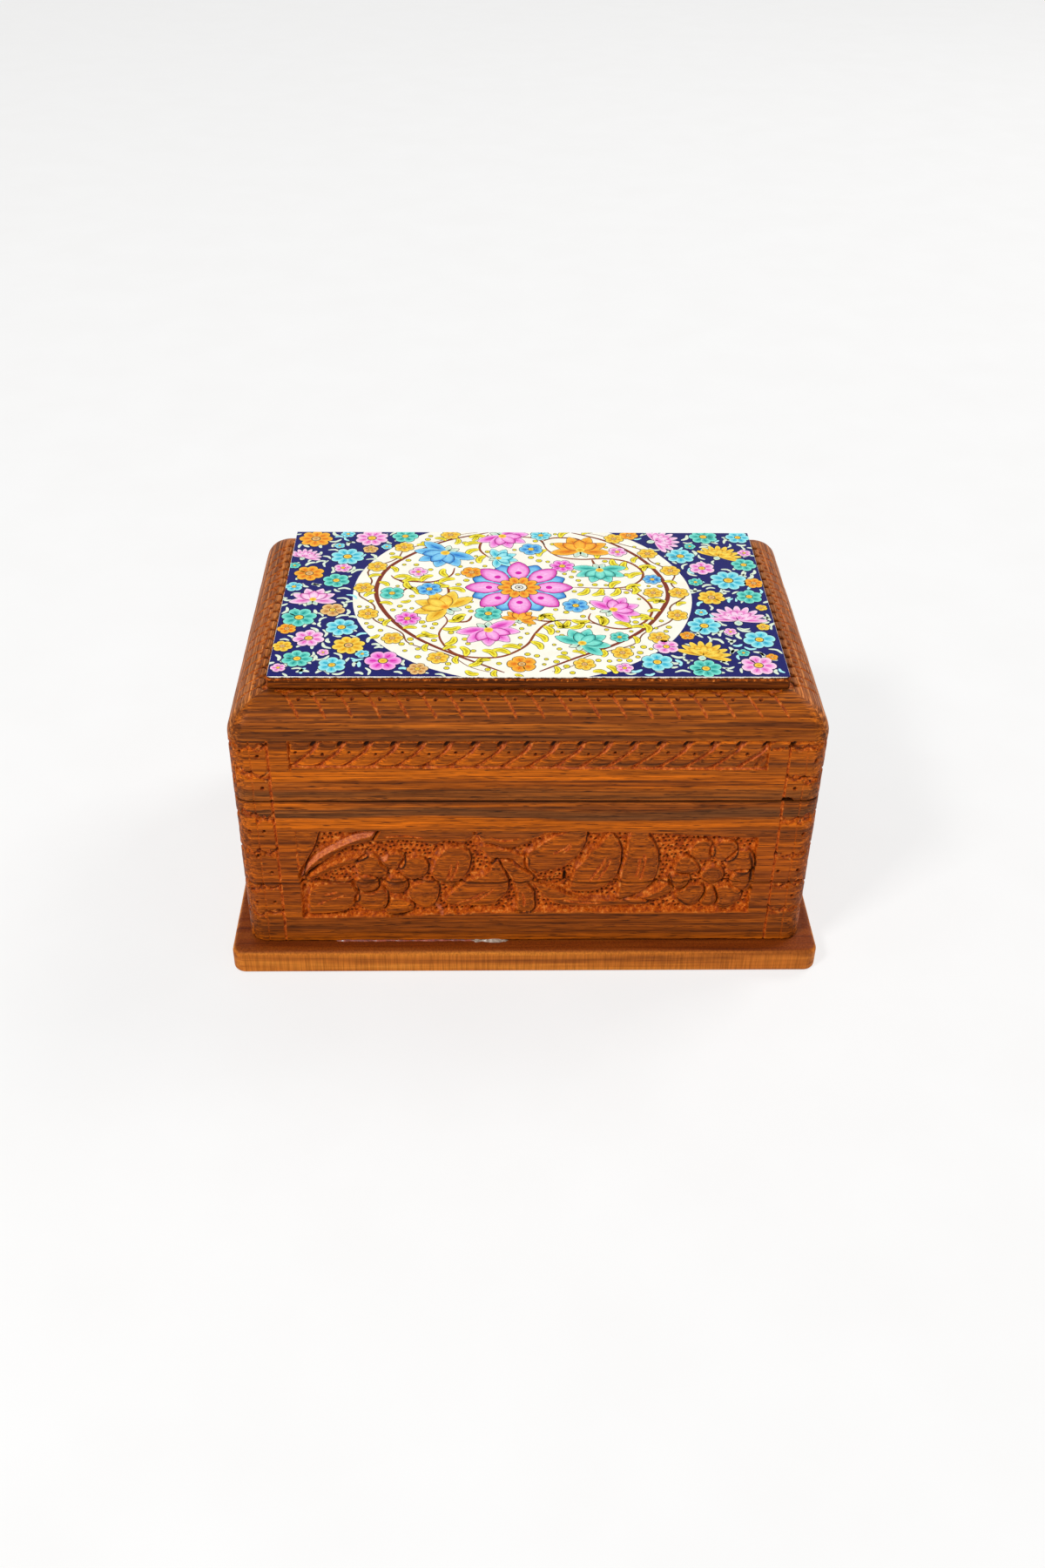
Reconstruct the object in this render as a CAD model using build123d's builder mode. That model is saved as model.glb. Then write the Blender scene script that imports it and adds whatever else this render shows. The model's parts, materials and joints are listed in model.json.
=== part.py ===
from build123d import *
import math
import os

# Carved wooden box with a moulded, hinged lid and a painted plaque. Millimetres.
# +X is the box's right, -Y its front and +Z up. The origin is the centre of the underside.

# Body, measured over the outer faces of its walls
body_length = 151.2
body_width = 98.4
wall_thickness = 8.0
body_corner_radius = 5.0

# Plinth board under the walls, which is also the box's floor
plinth_height = 7.4
plinth_ledge = 4.4
plinth_corner_radius = 3.5
plinth_top_round = 1.6
plinth_bottom_round = 1.0

# Walls of the base and of the lid
base_wall_height = 47.7
lower_board_height = 20.6
seam_gap = 0.3
lid_wall_height = 18.75

# Sunk panels of the carving, on the front and the two ends of the base
carving_depth = 1.7
panel_foot = 9.0
panel_height = 29.0
panel_end_distance = 15.2

# Quarter-round rails that frame the lid's top
rail_height = 9.05

# Raised centre board, rebated over the rails, and the plaque glued on it
board_margin = 10.15
board_overlap = 6.0
board_rise = 2.75
board_corner_radius = 0.8
tongue_fit = 0.15
plaque_thickness = 0.7
plaque_inset = 0.1
plaque_corner_radius = 1.2

# Two butt hinges let into the rear rims
hinge_inset = 1.9
hinge_end_distance = 33.6
hinge_length = 20.0
leaf_thickness = 1.0
leaf_lip = 0.5
mortise_fit = 0.1
knuckle_radius = 1.5
knuckle_count = 5
knuckle_side_gap = 0.2
knuckle_clearance = 0.3
pin_radius = 0.7
pin_fit = 0.05
opening_angle = 95.0

# Countersunk screws of the hinge leaves
screw_spacing = 12.0
screw_length = 6.5
screw_radius = 0.75
screw_head_radius = 1.4
screw_head_height = 0.75
screw_slot_width = 0.35
screw_slot_depth = 0.35
screw_fit = 0.05

# Wire nails up through the plinth board into the walls
nail_radius = 0.8
nail_head_radius = 1.7
nail_head_thickness = 0.7
nail_sunk = 0.3
nail_length = 21.0
nail_end_distance = 22.0
nail_fit = 0.05

# Places worked out from the sizes above
half_length = body_length / 2
half_width = body_width / 2
base_rim = plinth_height + base_wall_height
hinge_height = base_rim + seam_gap / 2
lid_rim = base_rim + seam_gap
rail_bottom = lid_rim + lid_wall_height
rail_top = rail_bottom + rail_height
board_top = rail_top + board_rise
board_length = body_length - 2 * board_margin
board_width = body_width - 2 * board_margin
hinge_x = half_length - hinge_end_distance
hinge_y = half_width - hinge_inset
leaf_width = wall_thickness - hinge_inset - leaf_lip
screw_y = hinge_y - (leaf_width + knuckle_radius + knuckle_clearance) / 2
nail_line = wall_thickness / 2

# The sides in order, each a quarter turn about Z from the one before
sides = ("front", "right", "back", "left")

# Main raised shapes of the carving. Each outline is in shares of the panel's height,
# from the middle of the panel's lower edge.
leaf_low_left = ((-2.01, 0.06), (-2.01, 0.3), (-1.88, 0.38), (-1.6, 0.38), (-1.57, 0.2), (-1.74, 0.05))
flower_left = (
    (-1.53, 0.38),
    (-1.43, 0.61),
    (-1.2, 0.7),
    (-0.97, 0.61),
    (-0.87, 0.37),
    (-0.97, 0.14),
    (-1.2, 0.05),
    (-1.43, 0.14),
)
long_leaf = (
    (-2.02, 0.5),
    (-1.72, 0.74),
    (-1.41, 0.87),
    (-0.9, 0.87),
    (-0.9, 0.97),
    (-1.52, 0.97),
    (-1.76, 0.87),
    (-1.98, 0.67),
)
leaf_upright = ((-0.71, 0.8), (-0.54, 0.74), (-0.52, 0.59), (-0.7, 0.36), (-0.82, 0.5), (-0.81, 0.71))
leaf_sweeping = (
    (-0.28, 0.62),
    (-0.19, 0.4),
    (-0.22, 0.22),
    (-0.34, 0.13),
    (-0.72, 0.14),
    (-0.67, 0.3),
    (-0.45, 0.45),
)
leaf_hanging = ((-0.4, 0.97), (-0.4, 0.87), (-0.17, 0.82), (0.03, 0.9), (0.1, 0.97))
stem = ((-0.22, 0.65), (-0.08, 0.3), (-0.08, 0.07), (0.05, 0.07), (0.05, 0.26), (-0.02, 0.52))
fan_left = (
    (0.02, 0.57),
    (0.01, 0.73),
    (0.24, 0.92),
    (0.48, 0.96),
    (0.47, 0.76),
    (0.33, 0.59),
    (0.14, 0.54),
)
fan_middle = (
    (0.74, 0.94),
    (0.54, 0.71),
    (0.43, 0.52),
    (0.4, 0.33),
    (0.64, 0.31),
    (0.8, 0.47),
    (0.83, 0.68),
    (0.81, 0.85),
)
fan_right = (
    (0.95, 0.95),
    (0.92, 0.74),
    (0.87, 0.5),
    (0.86, 0.24),
    (1.05, 0.3),
    (1.18, 0.5),
    (1.17, 0.76),
    (1.07, 0.95),
)
flower_right = (
    (1.39, 0.48),
    (1.49, 0.72),
    (1.71, 0.82),
    (1.93, 0.72),
    (2.02, 0.48),
    (1.93, 0.24),
    (1.71, 0.14),
    (1.49, 0.24),
)
end_shapes = (
    flower_left,
    leaf_upright,
    leaf_sweeping,
    leaf_hanging,
    stem,
    fan_left,
    fan_middle,
)
front_shapes = end_shapes + (leaf_low_left, long_leaf, fan_right, flower_right)
end_shift = 0.33

os.makedirs("parts", exist_ok=True)


def side_sizes(side):
    """Half the length of one side, and how far out it lies."""
    if side in ("front", "back"):
        return half_length, half_width
    return half_width, half_length


def turned(side, x, y):
    """A direction given on the front, turned to one side."""
    return Vector(x, y, 0).rotate(Axis.Z, 90 * sides.index(side))


def plan_plane(side, height):
    """Level plane at a height, turned so that its -Y looks out of one side."""
    return Plane(origin=(0, 0, height), x_dir=turned(side, 1, 0), z_dir=(0, 0, 1))


def section_plane(side, height):
    """Upright plane across one side: its X runs inward and its Y up."""
    return Plane(origin=(0, 0, height), x_dir=turned(side, 0, 1), z_dir=turned(side, 1, 0))


def hinge_plane(x):
    """Upright plane across the hinge axis: its X runs to the back and its Y up."""
    return Plane(origin=(x, hinge_y, hinge_height), x_dir=(0, 1, 0), z_dir=(1, 0, 0))


def mitred_plan(side, height, thickness):
    """Plan of one side with 45 degree mitres and the box's rounded outer corners."""
    half_side, reach = side_sizes(side)
    radius = body_corner_radius
    corner = radius * math.sqrt(0.5)
    arc_end = (half_side - radius + corner, -(reach - radius + corner))
    tangent = (half_side - radius, -reach)
    inner = (half_side - thickness, -(reach - thickness))
    with BuildSketch(plan_plane(side, height)) as plan:
        with BuildLine():
            Line((-tangent[0], tangent[1]), tangent)
            RadiusArc(tangent, arc_end, -radius)
            Line(arc_end, inner)
            Line(inner, (-inner[0], inner[1]))
            Line((-inner[0], inner[1]), (-arc_end[0], arc_end[1]))
            RadiusArc((-arc_end[0], arc_end[1]), (-tangent[0], tangent[1]), -radius)
        make_face()
    return plan.sketch


def wall_board(side, bottom, height):
    """One wall board, mitred at both ends."""
    extrude(mitred_plan(side, bottom, wall_thickness), amount=height)


def sink_panel(side, shapes, mirror, shift):
    """Sink a panel into one side of the base, with the shapes of its carving left standing."""
    half_side, reach = side_sizes(side)
    middle = turned(side, 0, -reach - carving_depth) + Vector(0, 0, plinth_height + panel_foot)
    face = Plane(origin=middle, x_dir=turned(side, 1, 0), z_dir=turned(side, 0, -1))
    with BuildSketch(face) as ground:
        with Locations((0, panel_height / 2)):
            Rectangle(2 * (half_side - panel_end_distance), panel_height)
        for shape in shapes:
            corners = [(mirror * (x + shift) * panel_height, y * panel_height) for x, y in shape]
            with BuildLine():
                Polyline(*corners, close=True)
            make_face(mode=Mode.SUBTRACT)
    extrude(ground.sketch, amount=-2 * carving_depth, mode=Mode.SUBTRACT)


def cut_rear_bevel(up):
    """Slope off the rear rim, so that the two slopes meet as a stop when the lid is open."""
    half_gap = seam_gap / 2
    slope = math.radians(opening_angle / 2)
    start = -half_gap * math.tan(slope / 2)
    end = 2 * hinge_inset
    end_height = -(half_gap + end * math.sin(slope)) / math.cos(slope)
    with BuildSketch(hinge_plane(0)) as wedge:
        with BuildLine():
            Polyline(
                (start, -up * -half_gap),
                (end, -up * end_height),
                (end, -up * half_gap),
                (start, -up * half_gap),
                close=True,
            )
        make_face()
    extrude(wedge.sketch, amount=half_length, both=True, mode=Mode.SUBTRACT)


def bore(place, up, radius, depth):
    """Round hole from a place, up for 1 and down for -1."""
    with BuildSketch(Plane(place, x_dir=(1, 0, 0), z_dir=(0, 0, up))) as mouth:
        Circle(radius)
    extrude(mouth.sketch, amount=depth, mode=Mode.SUBTRACT)


def hinge_centres():
    """Places of the two hinges along X."""
    return (-hinge_x, hinge_x)


def screw_places(height):
    """Places of the hinge screws of one half, at a height."""
    return [
        (centre + step * screw_spacing / 2, screw_y, height)
        for centre in hinge_centres()
        for step in (-1, 1)
    ]


def cut_hinge_seats(up):
    """Mortises, knuckle grooves and pilot holes in a rear wall. up is 1 for the lid."""
    face = up * seam_gap / 2
    floor = up * (seam_gap / 2 + leaf_thickness)
    for centre in hinge_centres():
        with BuildSketch(hinge_plane(centre)) as mortise:
            with Locations((-(leaf_width + mortise_fit) / 2, (face + floor) / 2)):
                Rectangle(leaf_width + mortise_fit, leaf_thickness)
        reach = hinge_length / 2 + mortise_fit
        extrude(mortise.sketch, amount=reach, both=True, mode=Mode.SUBTRACT)
        with BuildSketch(hinge_plane(centre)) as groove:
            Circle(knuckle_radius + knuckle_clearance)
        reach = hinge_length / 2 + knuckle_clearance
        extrude(groove.sketch, amount=reach, both=True, mode=Mode.SUBTRACT)
    for place in screw_places(hinge_height + face):
        bore(place, up, screw_radius + screw_fit, screw_length + screw_fit)


def nail_places():
    """Places of the plinth nails in plan, on the middle line of each wall."""
    along_x = half_length - nail_end_distance
    rows = [(x, y) for x in (-along_x, 0, along_x) for y in (-1, 1)]
    long_sides = [(x, y * (half_width - nail_line)) for x, y in rows]
    ends = [(x * (half_length - nail_line), 0) for x in (-1, 1)]
    return long_sides + ends


def cut_nail_holes():
    """Shank holes for the plinth nails."""
    for x, y in nail_places():
        bore((x, y, 0), 1, nail_radius + nail_fit, nail_sunk + nail_length + nail_fit)


def knuckle_ranges(first):
    """Start and end along X of every other knuckle of a hinge, from one end."""
    pitch = hinge_length / knuckle_count
    starts = [-hinge_length / 2 + pitch * n for n in range(first, knuckle_count, 2)]
    trim = knuckle_side_gap / 2
    return [(start + trim, start + pitch - trim) for start in starts]


def hinge_leaf(centre, up, own_first, other_first):
    """One hinge leaf with its knuckles. up is 1 for the leaf in the lid."""
    face = up * seam_gap / 2
    floor = up * (seam_gap / 2 + leaf_thickness)
    with BuildSketch(hinge_plane(centre)) as plate:
        with Locations((-leaf_width / 2, (face + floor) / 2)):
            Rectangle(leaf_width, leaf_thickness)
    extrude(plate.sketch, amount=hinge_length / 2, both=True)
    for start, end in knuckle_ranges(other_first):
        with BuildSketch(hinge_plane(centre + start - knuckle_side_gap)) as notch:
            Circle(knuckle_radius + knuckle_clearance)
        length = end - start + 2 * knuckle_side_gap
        extrude(notch.sketch, amount=length, mode=Mode.SUBTRACT)
    for start, end in knuckle_ranges(own_first):
        with BuildSketch(hinge_plane(centre + start)) as knuckle:
            Circle(knuckle_radius)
        extrude(knuckle.sketch, amount=end - start)
    with BuildSketch(hinge_plane(centre)) as pin_hole:
        Circle(pin_radius + pin_fit)
    extrude(pin_hole.sketch, amount=hinge_length, both=True, mode=Mode.SUBTRACT)
    for x, y, height in screw_places(hinge_height + face):
        if abs(x - centre) < hinge_length:
            with BuildSketch(Plane((x, y, height))) as head:
                Circle(screw_head_radius + screw_fit)
            with BuildSketch(Plane((x, y, height + up * screw_head_height))) as throat:
                Circle(screw_radius + screw_fit)
            loft([head.sketch, throat.sketch], mode=Mode.SUBTRACT)
            bore((x, y, height), up, screw_radius + screw_fit, leaf_thickness)


# Plinth board, with its edges rounded over and seats for the nail heads
with BuildPart() as plinth_board:
    with BuildSketch():
        RectangleRounded(
            body_length + 2 * plinth_ledge, body_width + 2 * plinth_ledge, plinth_corner_radius
        )
    extrude(amount=plinth_height)
    fillet(plinth_board.faces().sort_by(Axis.Z)[-1].edges(), plinth_top_round)
    fillet(plinth_board.faces().sort_by(Axis.Z)[0].edges(), plinth_bottom_round)
    cut_nail_holes()
    with BuildSketch(Plane.XY):
        with Locations(*nail_places()):
            Circle(nail_head_radius + nail_fit)
    extrude(amount=nail_sunk + nail_head_thickness, mode=Mode.SUBTRACT)
plinth_board.part.label = "plinth_board"
export_step(plinth_board.part, "parts/plinth_board.step")

# The front wall of the base is two boards glued edge to edge
with BuildPart() as base_front_wall_lower:
    wall_board("front", plinth_height, lower_board_height)
    sink_panel("front", front_shapes, 1, 0)
    cut_nail_holes()
base_front_wall_lower.part.label = "base_front_wall_lower"
export_step(base_front_wall_lower.part, "parts/base_front_wall_lower.step")

with BuildPart() as base_front_wall_upper:
    wall_board("front", plinth_height + lower_board_height, base_wall_height - lower_board_height)
    sink_panel("front", front_shapes, 1, 0)
base_front_wall_upper.part.label = "base_front_wall_upper"
export_step(base_front_wall_upper.part, "parts/base_front_wall_upper.step")

# End walls of the base. The carving of the right one is the mirror image of the left one's.
for side, mirror in (("left", 1), ("right", -1)):
    with BuildPart() as base_end_wall:
        wall_board(side, plinth_height, base_wall_height)
        sink_panel(side, end_shapes, mirror, end_shift)
        cut_rear_bevel(-1)
        cut_nail_holes()
    base_end_wall.part.label = f"base_{side}_wall"
    export_step(base_end_wall.part, f"parts/base_{side}_wall.step")

with BuildPart() as base_back_wall:
    wall_board("back", plinth_height, base_wall_height)
    cut_rear_bevel(-1)
    cut_hinge_seats(-1)
    cut_nail_holes()
base_back_wall.part.label = "base_back_wall"
export_step(base_back_wall.part, "parts/base_back_wall.step")

# Front and end walls of the lid
for side in ("front", "left", "right"):
    with BuildPart() as lid_wall:
        wall_board(side, lid_rim, lid_wall_height)
        if side != "front":
            cut_rear_bevel(1)
    lid_wall.part.label = f"lid_{side}_wall"
    export_step(lid_wall.part, f"parts/lid_{side}_wall.step")

with BuildPart() as lid_back_wall:
    wall_board("back", lid_rim, lid_wall_height)
    cut_rear_bevel(1)
    cut_hinge_seats(1)
lid_back_wall.part.label = "lid_back_wall"
export_step(lid_back_wall.part, "parts/lid_back_wall.step")

# Rails: a quarter-round section run along each side and cut to its mitred plan
for side in sides:
    half_side, reach = side_sizes(side)
    inner = -(reach - board_margin - board_overlap)
    ridge = -(reach - board_margin)
    with BuildPart() as lid_rail:
        with BuildSketch(section_plane(side, rail_bottom)):
            with BuildLine():
                Line((-reach, 0), (inner, 0))
                Line((inner, 0), (inner, rail_height))
                Line((inner, rail_height), (ridge, rail_height))
                EllipticalCenterArc((ridge, 0), board_margin, rail_height, start_angle=90, arc_size=90)
            make_face()
        extrude(amount=half_side, both=True)
        rail_plan = mitred_plan(side, rail_bottom, board_margin + board_overlap)
        extrude(rail_plan, amount=rail_height, mode=Mode.INTERSECT)
    lid_rail.part.label = f"lid_rail_{side}"
    export_step(lid_rail.part, f"parts/lid_rail_{side}.step")

# Raised board: a tongue fills the rails' opening and its flange covers their inner edges
with BuildPart() as lid_centre_board:
    with BuildSketch(Plane.XY.offset(rail_bottom)):
        Rectangle(
            board_length - 2 * (board_overlap + tongue_fit),
            board_width - 2 * (board_overlap + tongue_fit),
        )
    extrude(amount=rail_height)
    with BuildSketch(Plane.XY.offset(rail_top)):
        RectangleRounded(board_length, board_width, board_corner_radius)
    extrude(amount=board_rise)
lid_centre_board.part.label = "lid_centre_board"
export_step(lid_centre_board.part, "parts/lid_centre_board.step")

with BuildPart() as painted_plaque:
    with BuildSketch(Plane.XY.offset(board_top)):
        RectangleRounded(
            board_length - 2 * plaque_inset, board_width - 2 * plaque_inset, plaque_corner_radius
        )
    extrude(amount=plaque_thickness)
painted_plaque.part.label = "painted_plaque"
export_step(painted_plaque.part, "parts/painted_plaque.step")

# Hinges: the base leaf has the end knuckles and holds the pin
for hand, centre in zip(("left", "right"), hinge_centres()):
    with BuildPart() as base_leaf:
        hinge_leaf(centre, -1, 0, 1)
    base_leaf.part.label = f"hinge_{hand}_base_leaf"
    export_step(base_leaf.part, f"parts/hinge_{hand}_base_leaf.step")

    with BuildPart() as lid_leaf:
        hinge_leaf(centre, 1, 1, 0)
    lid_leaf.part.label = f"hinge_{hand}_lid_leaf"
    export_step(lid_leaf.part, f"parts/hinge_{hand}_lid_leaf.step")

    with BuildPart() as pin:
        with BuildSketch(hinge_plane(centre)):
            Circle(pin_radius)
        extrude(amount=(hinge_length - knuckle_side_gap) / 2, both=True)
    pin.part.label = f"hinge_{hand}_pin"
    export_step(pin.part, f"parts/hinge_{hand}_pin.step")

# One hinge screw, its head's flat on the plane and its shank running down
with BuildPart() as screw:
    with BuildSketch(Plane.XZ):
        with BuildLine():
            Polyline(
                (0, 0),
                (screw_head_radius, 0),
                (screw_radius, -screw_head_height),
                (screw_radius, -(screw_length - 2 * screw_radius)),
                (0, -screw_length),
                close=True,
            )
        make_face()
    revolve(axis=Axis.Z)
    with BuildSketch(Plane.XY):
        Rectangle(2 * screw_head_radius, screw_slot_width)
    extrude(amount=-screw_slot_depth, mode=Mode.SUBTRACT)

with BuildPart() as base_hinge_screws:
    with Locations(*screw_places(base_rim)):
        add(screw.part)
base_hinge_screws.part.label = "base_hinge_screws"
export_step(base_hinge_screws.part, "parts/base_hinge_screws.step")

with BuildPart() as lid_hinge_screws:
    with Locations(*[Location(place, (180, 0, 0)) for place in screw_places(lid_rim)]):
        add(screw.part)
lid_hinge_screws.part.label = "lid_hinge_screws"
export_step(lid_hinge_screws.part, "parts/lid_hinge_screws.step")

# Nails with flat heads, sunk a little below the plinth's underside
with BuildPart() as plinth_nails:
    with BuildSketch(Plane.XY.offset(nail_sunk)):
        with Locations(*nail_places()):
            Circle(nail_head_radius)
    extrude(amount=nail_head_thickness)
    with BuildSketch(Plane.XY.offset(nail_sunk)):
        with Locations(*nail_places()):
            Circle(nail_radius)
    extrude(amount=nail_length)
plinth_nails.part.label = "plinth_nails"
export_step(plinth_nails.part, "parts/plinth_nails.step")
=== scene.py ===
import json
import math
import bmesh
import bpy
import numpy as np
from mathutils import Matrix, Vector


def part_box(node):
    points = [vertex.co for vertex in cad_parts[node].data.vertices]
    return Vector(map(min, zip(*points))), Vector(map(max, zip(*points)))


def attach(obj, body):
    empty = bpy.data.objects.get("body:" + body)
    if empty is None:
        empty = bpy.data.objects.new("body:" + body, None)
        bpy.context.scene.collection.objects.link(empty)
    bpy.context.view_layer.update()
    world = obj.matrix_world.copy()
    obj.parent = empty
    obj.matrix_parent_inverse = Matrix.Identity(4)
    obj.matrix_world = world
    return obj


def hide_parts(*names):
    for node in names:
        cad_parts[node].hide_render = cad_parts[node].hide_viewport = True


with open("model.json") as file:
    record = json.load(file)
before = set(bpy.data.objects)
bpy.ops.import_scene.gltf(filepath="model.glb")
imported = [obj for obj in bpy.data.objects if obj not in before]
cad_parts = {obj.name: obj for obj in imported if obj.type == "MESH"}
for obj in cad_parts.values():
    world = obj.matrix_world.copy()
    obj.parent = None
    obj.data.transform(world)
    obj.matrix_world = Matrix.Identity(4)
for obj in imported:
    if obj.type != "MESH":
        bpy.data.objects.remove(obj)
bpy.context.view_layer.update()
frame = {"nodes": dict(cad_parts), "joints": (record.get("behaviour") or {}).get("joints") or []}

MM = 0.001


# ---------- sizes read from the frame, in millimetres ----------

def edges(node):
    """Lowest and highest corner of a CAD node, in millimetres."""
    low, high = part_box(node)
    return np.array(low) / MM, np.array(high) / MM


upper_low, upper_high = edges("base_front_wall_upper")
lid_low, lid_high = edges("lid_front_wall")
rail_low, rail_high = edges("lid_rail_front")
plaque_low, plaque_high = edges("painted_plaque")
board_high = edges("lid_centre_board")[1]

half_length = edges("base_right_wall")[1][0]
half_width = -upper_low[1]
wall = upper_high[1] - upper_low[1]
corner_radius = 5.0
base_low = edges("base_front_wall_lower")[0][2]
base_high = upper_high[2]
seam_height = upper_low[2]
rail_margin = half_width - board_high[1]
rail_depth = rail_high[1] - rail_low[1]
rail_rise = rail_high[2] - rail_low[2]
hinge = frame["joints"][0]
hinge_y = hinge["pos_m"][1] / MM
stop_slope = math.tan(math.radians(hinge["range_deg"][1] / 2))

# The carving's own sizes. The skin keeps every carved face inside its CAD wall.
skin_depth = 0.19
panel_depth = 1.75
boss_trench = 1.9
rim_radius = 0.45
dot_radius = 0.42
dot_spacing = 1.35
rail_arc = 15.1
rail_step = 0.24
rail_plain_end = 8.5

sides = {
    "front": ((1, 0), (0, -1), half_length, half_width),
    "right": ((0, 1), (1, 0), half_width, half_length),
    "back": ((-1, 0), (0, 1), half_length, half_width),
    "left": ((0, -1), (-1, 0), half_width, half_length),
}


# ---------- numbers on grids and lines ----------

def smooth(t):
    t = np.clip(t, 0, 1)
    return t * t * (3 - 2 * t)


def lengths(arrows):
    return np.hypot(arrows[..., 0], arrows[..., 1])


def rounded(points, closed=True, steps=4):
    """A smooth line through the points."""
    p = np.asarray(points, float)
    n = len(p)
    made = []
    for i in range(n if closed else n - 1):
        a = p[i - 1] if closed or i else p[i]
        b = p[i]
        c = p[(i + 1) % n]
        d = p[(i + 2) % n] if closed else p[min(i + 2, n - 1)]
        for t in np.arange(steps) / steps:
            made.append(b + 0.5 * t * (c - a + t * (2 * a - 5 * b + 4 * c - d
                        + t * (3 * b - a - 3 * c + d))))
    if not closed:
        made.append(p[-1])
    return np.array(made)


def line_distance(q, line, closed=False):
    """How far each point is from a line, and how far along it, from 0 to 1."""
    a = line if closed else line[:-1]
    b = np.roll(line, -1, 0) if closed else line[1:]
    best = np.full(len(q), 1e9)
    along = np.zeros(len(q))
    for i in range(len(a)):
        d = b[i] - a[i]
        t = np.clip(((q - a[i]) @ d) / max(d @ d, 1e-9), 0, 1)
        e = q - a[i] - t[:, None] * d
        dist = lengths(e)
        nearer = dist < best
        best[nearer] = dist[nearer]
        along[nearer] = (i + t[nearer]) / len(a)
    return best, along


def inside(q, ring):
    found = np.zeros(len(q), bool)
    for i in range(len(ring)):
        a = ring[i]
        b = ring[i - 1]
        crossing = (a[1] > q[:, 1]) != (b[1] > q[:, 1])
        x = (b[0] - a[0]) * (q[:, 1] - a[1]) / (b[1] - a[1] + 1e-12) + a[0]
        found ^= crossing & (q[:, 0] < x)
    return found


def signed(q, ring):
    """Distance to a ring, positive inside it."""
    dist, _ = line_distance(q, ring, True)
    return np.where(inside(q, ring), dist, -dist)


def noise(q, size, seed):
    """Smooth random values from -1 to 1 with features of about that size."""
    p = q / np.asarray(size, float)
    cell = np.floor(p).astype(int)
    f = smooth(p - cell)
    table = np.random.default_rng(seed).uniform(-1, 1, (64, 64))

    def corner(dx, dy):
        return table[(cell[:, 0] + dx) % 64, (cell[:, 1] + dy) % 64]

    low = corner(0, 0) * (1 - f[:, 0]) + corner(1, 0) * f[:, 0]
    high = corner(0, 1) * (1 - f[:, 0]) + corner(1, 1) * f[:, 0]
    return low * (1 - f[:, 1]) + high * f[:, 1]


# ---------- carving as depths below a surface ----------

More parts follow.
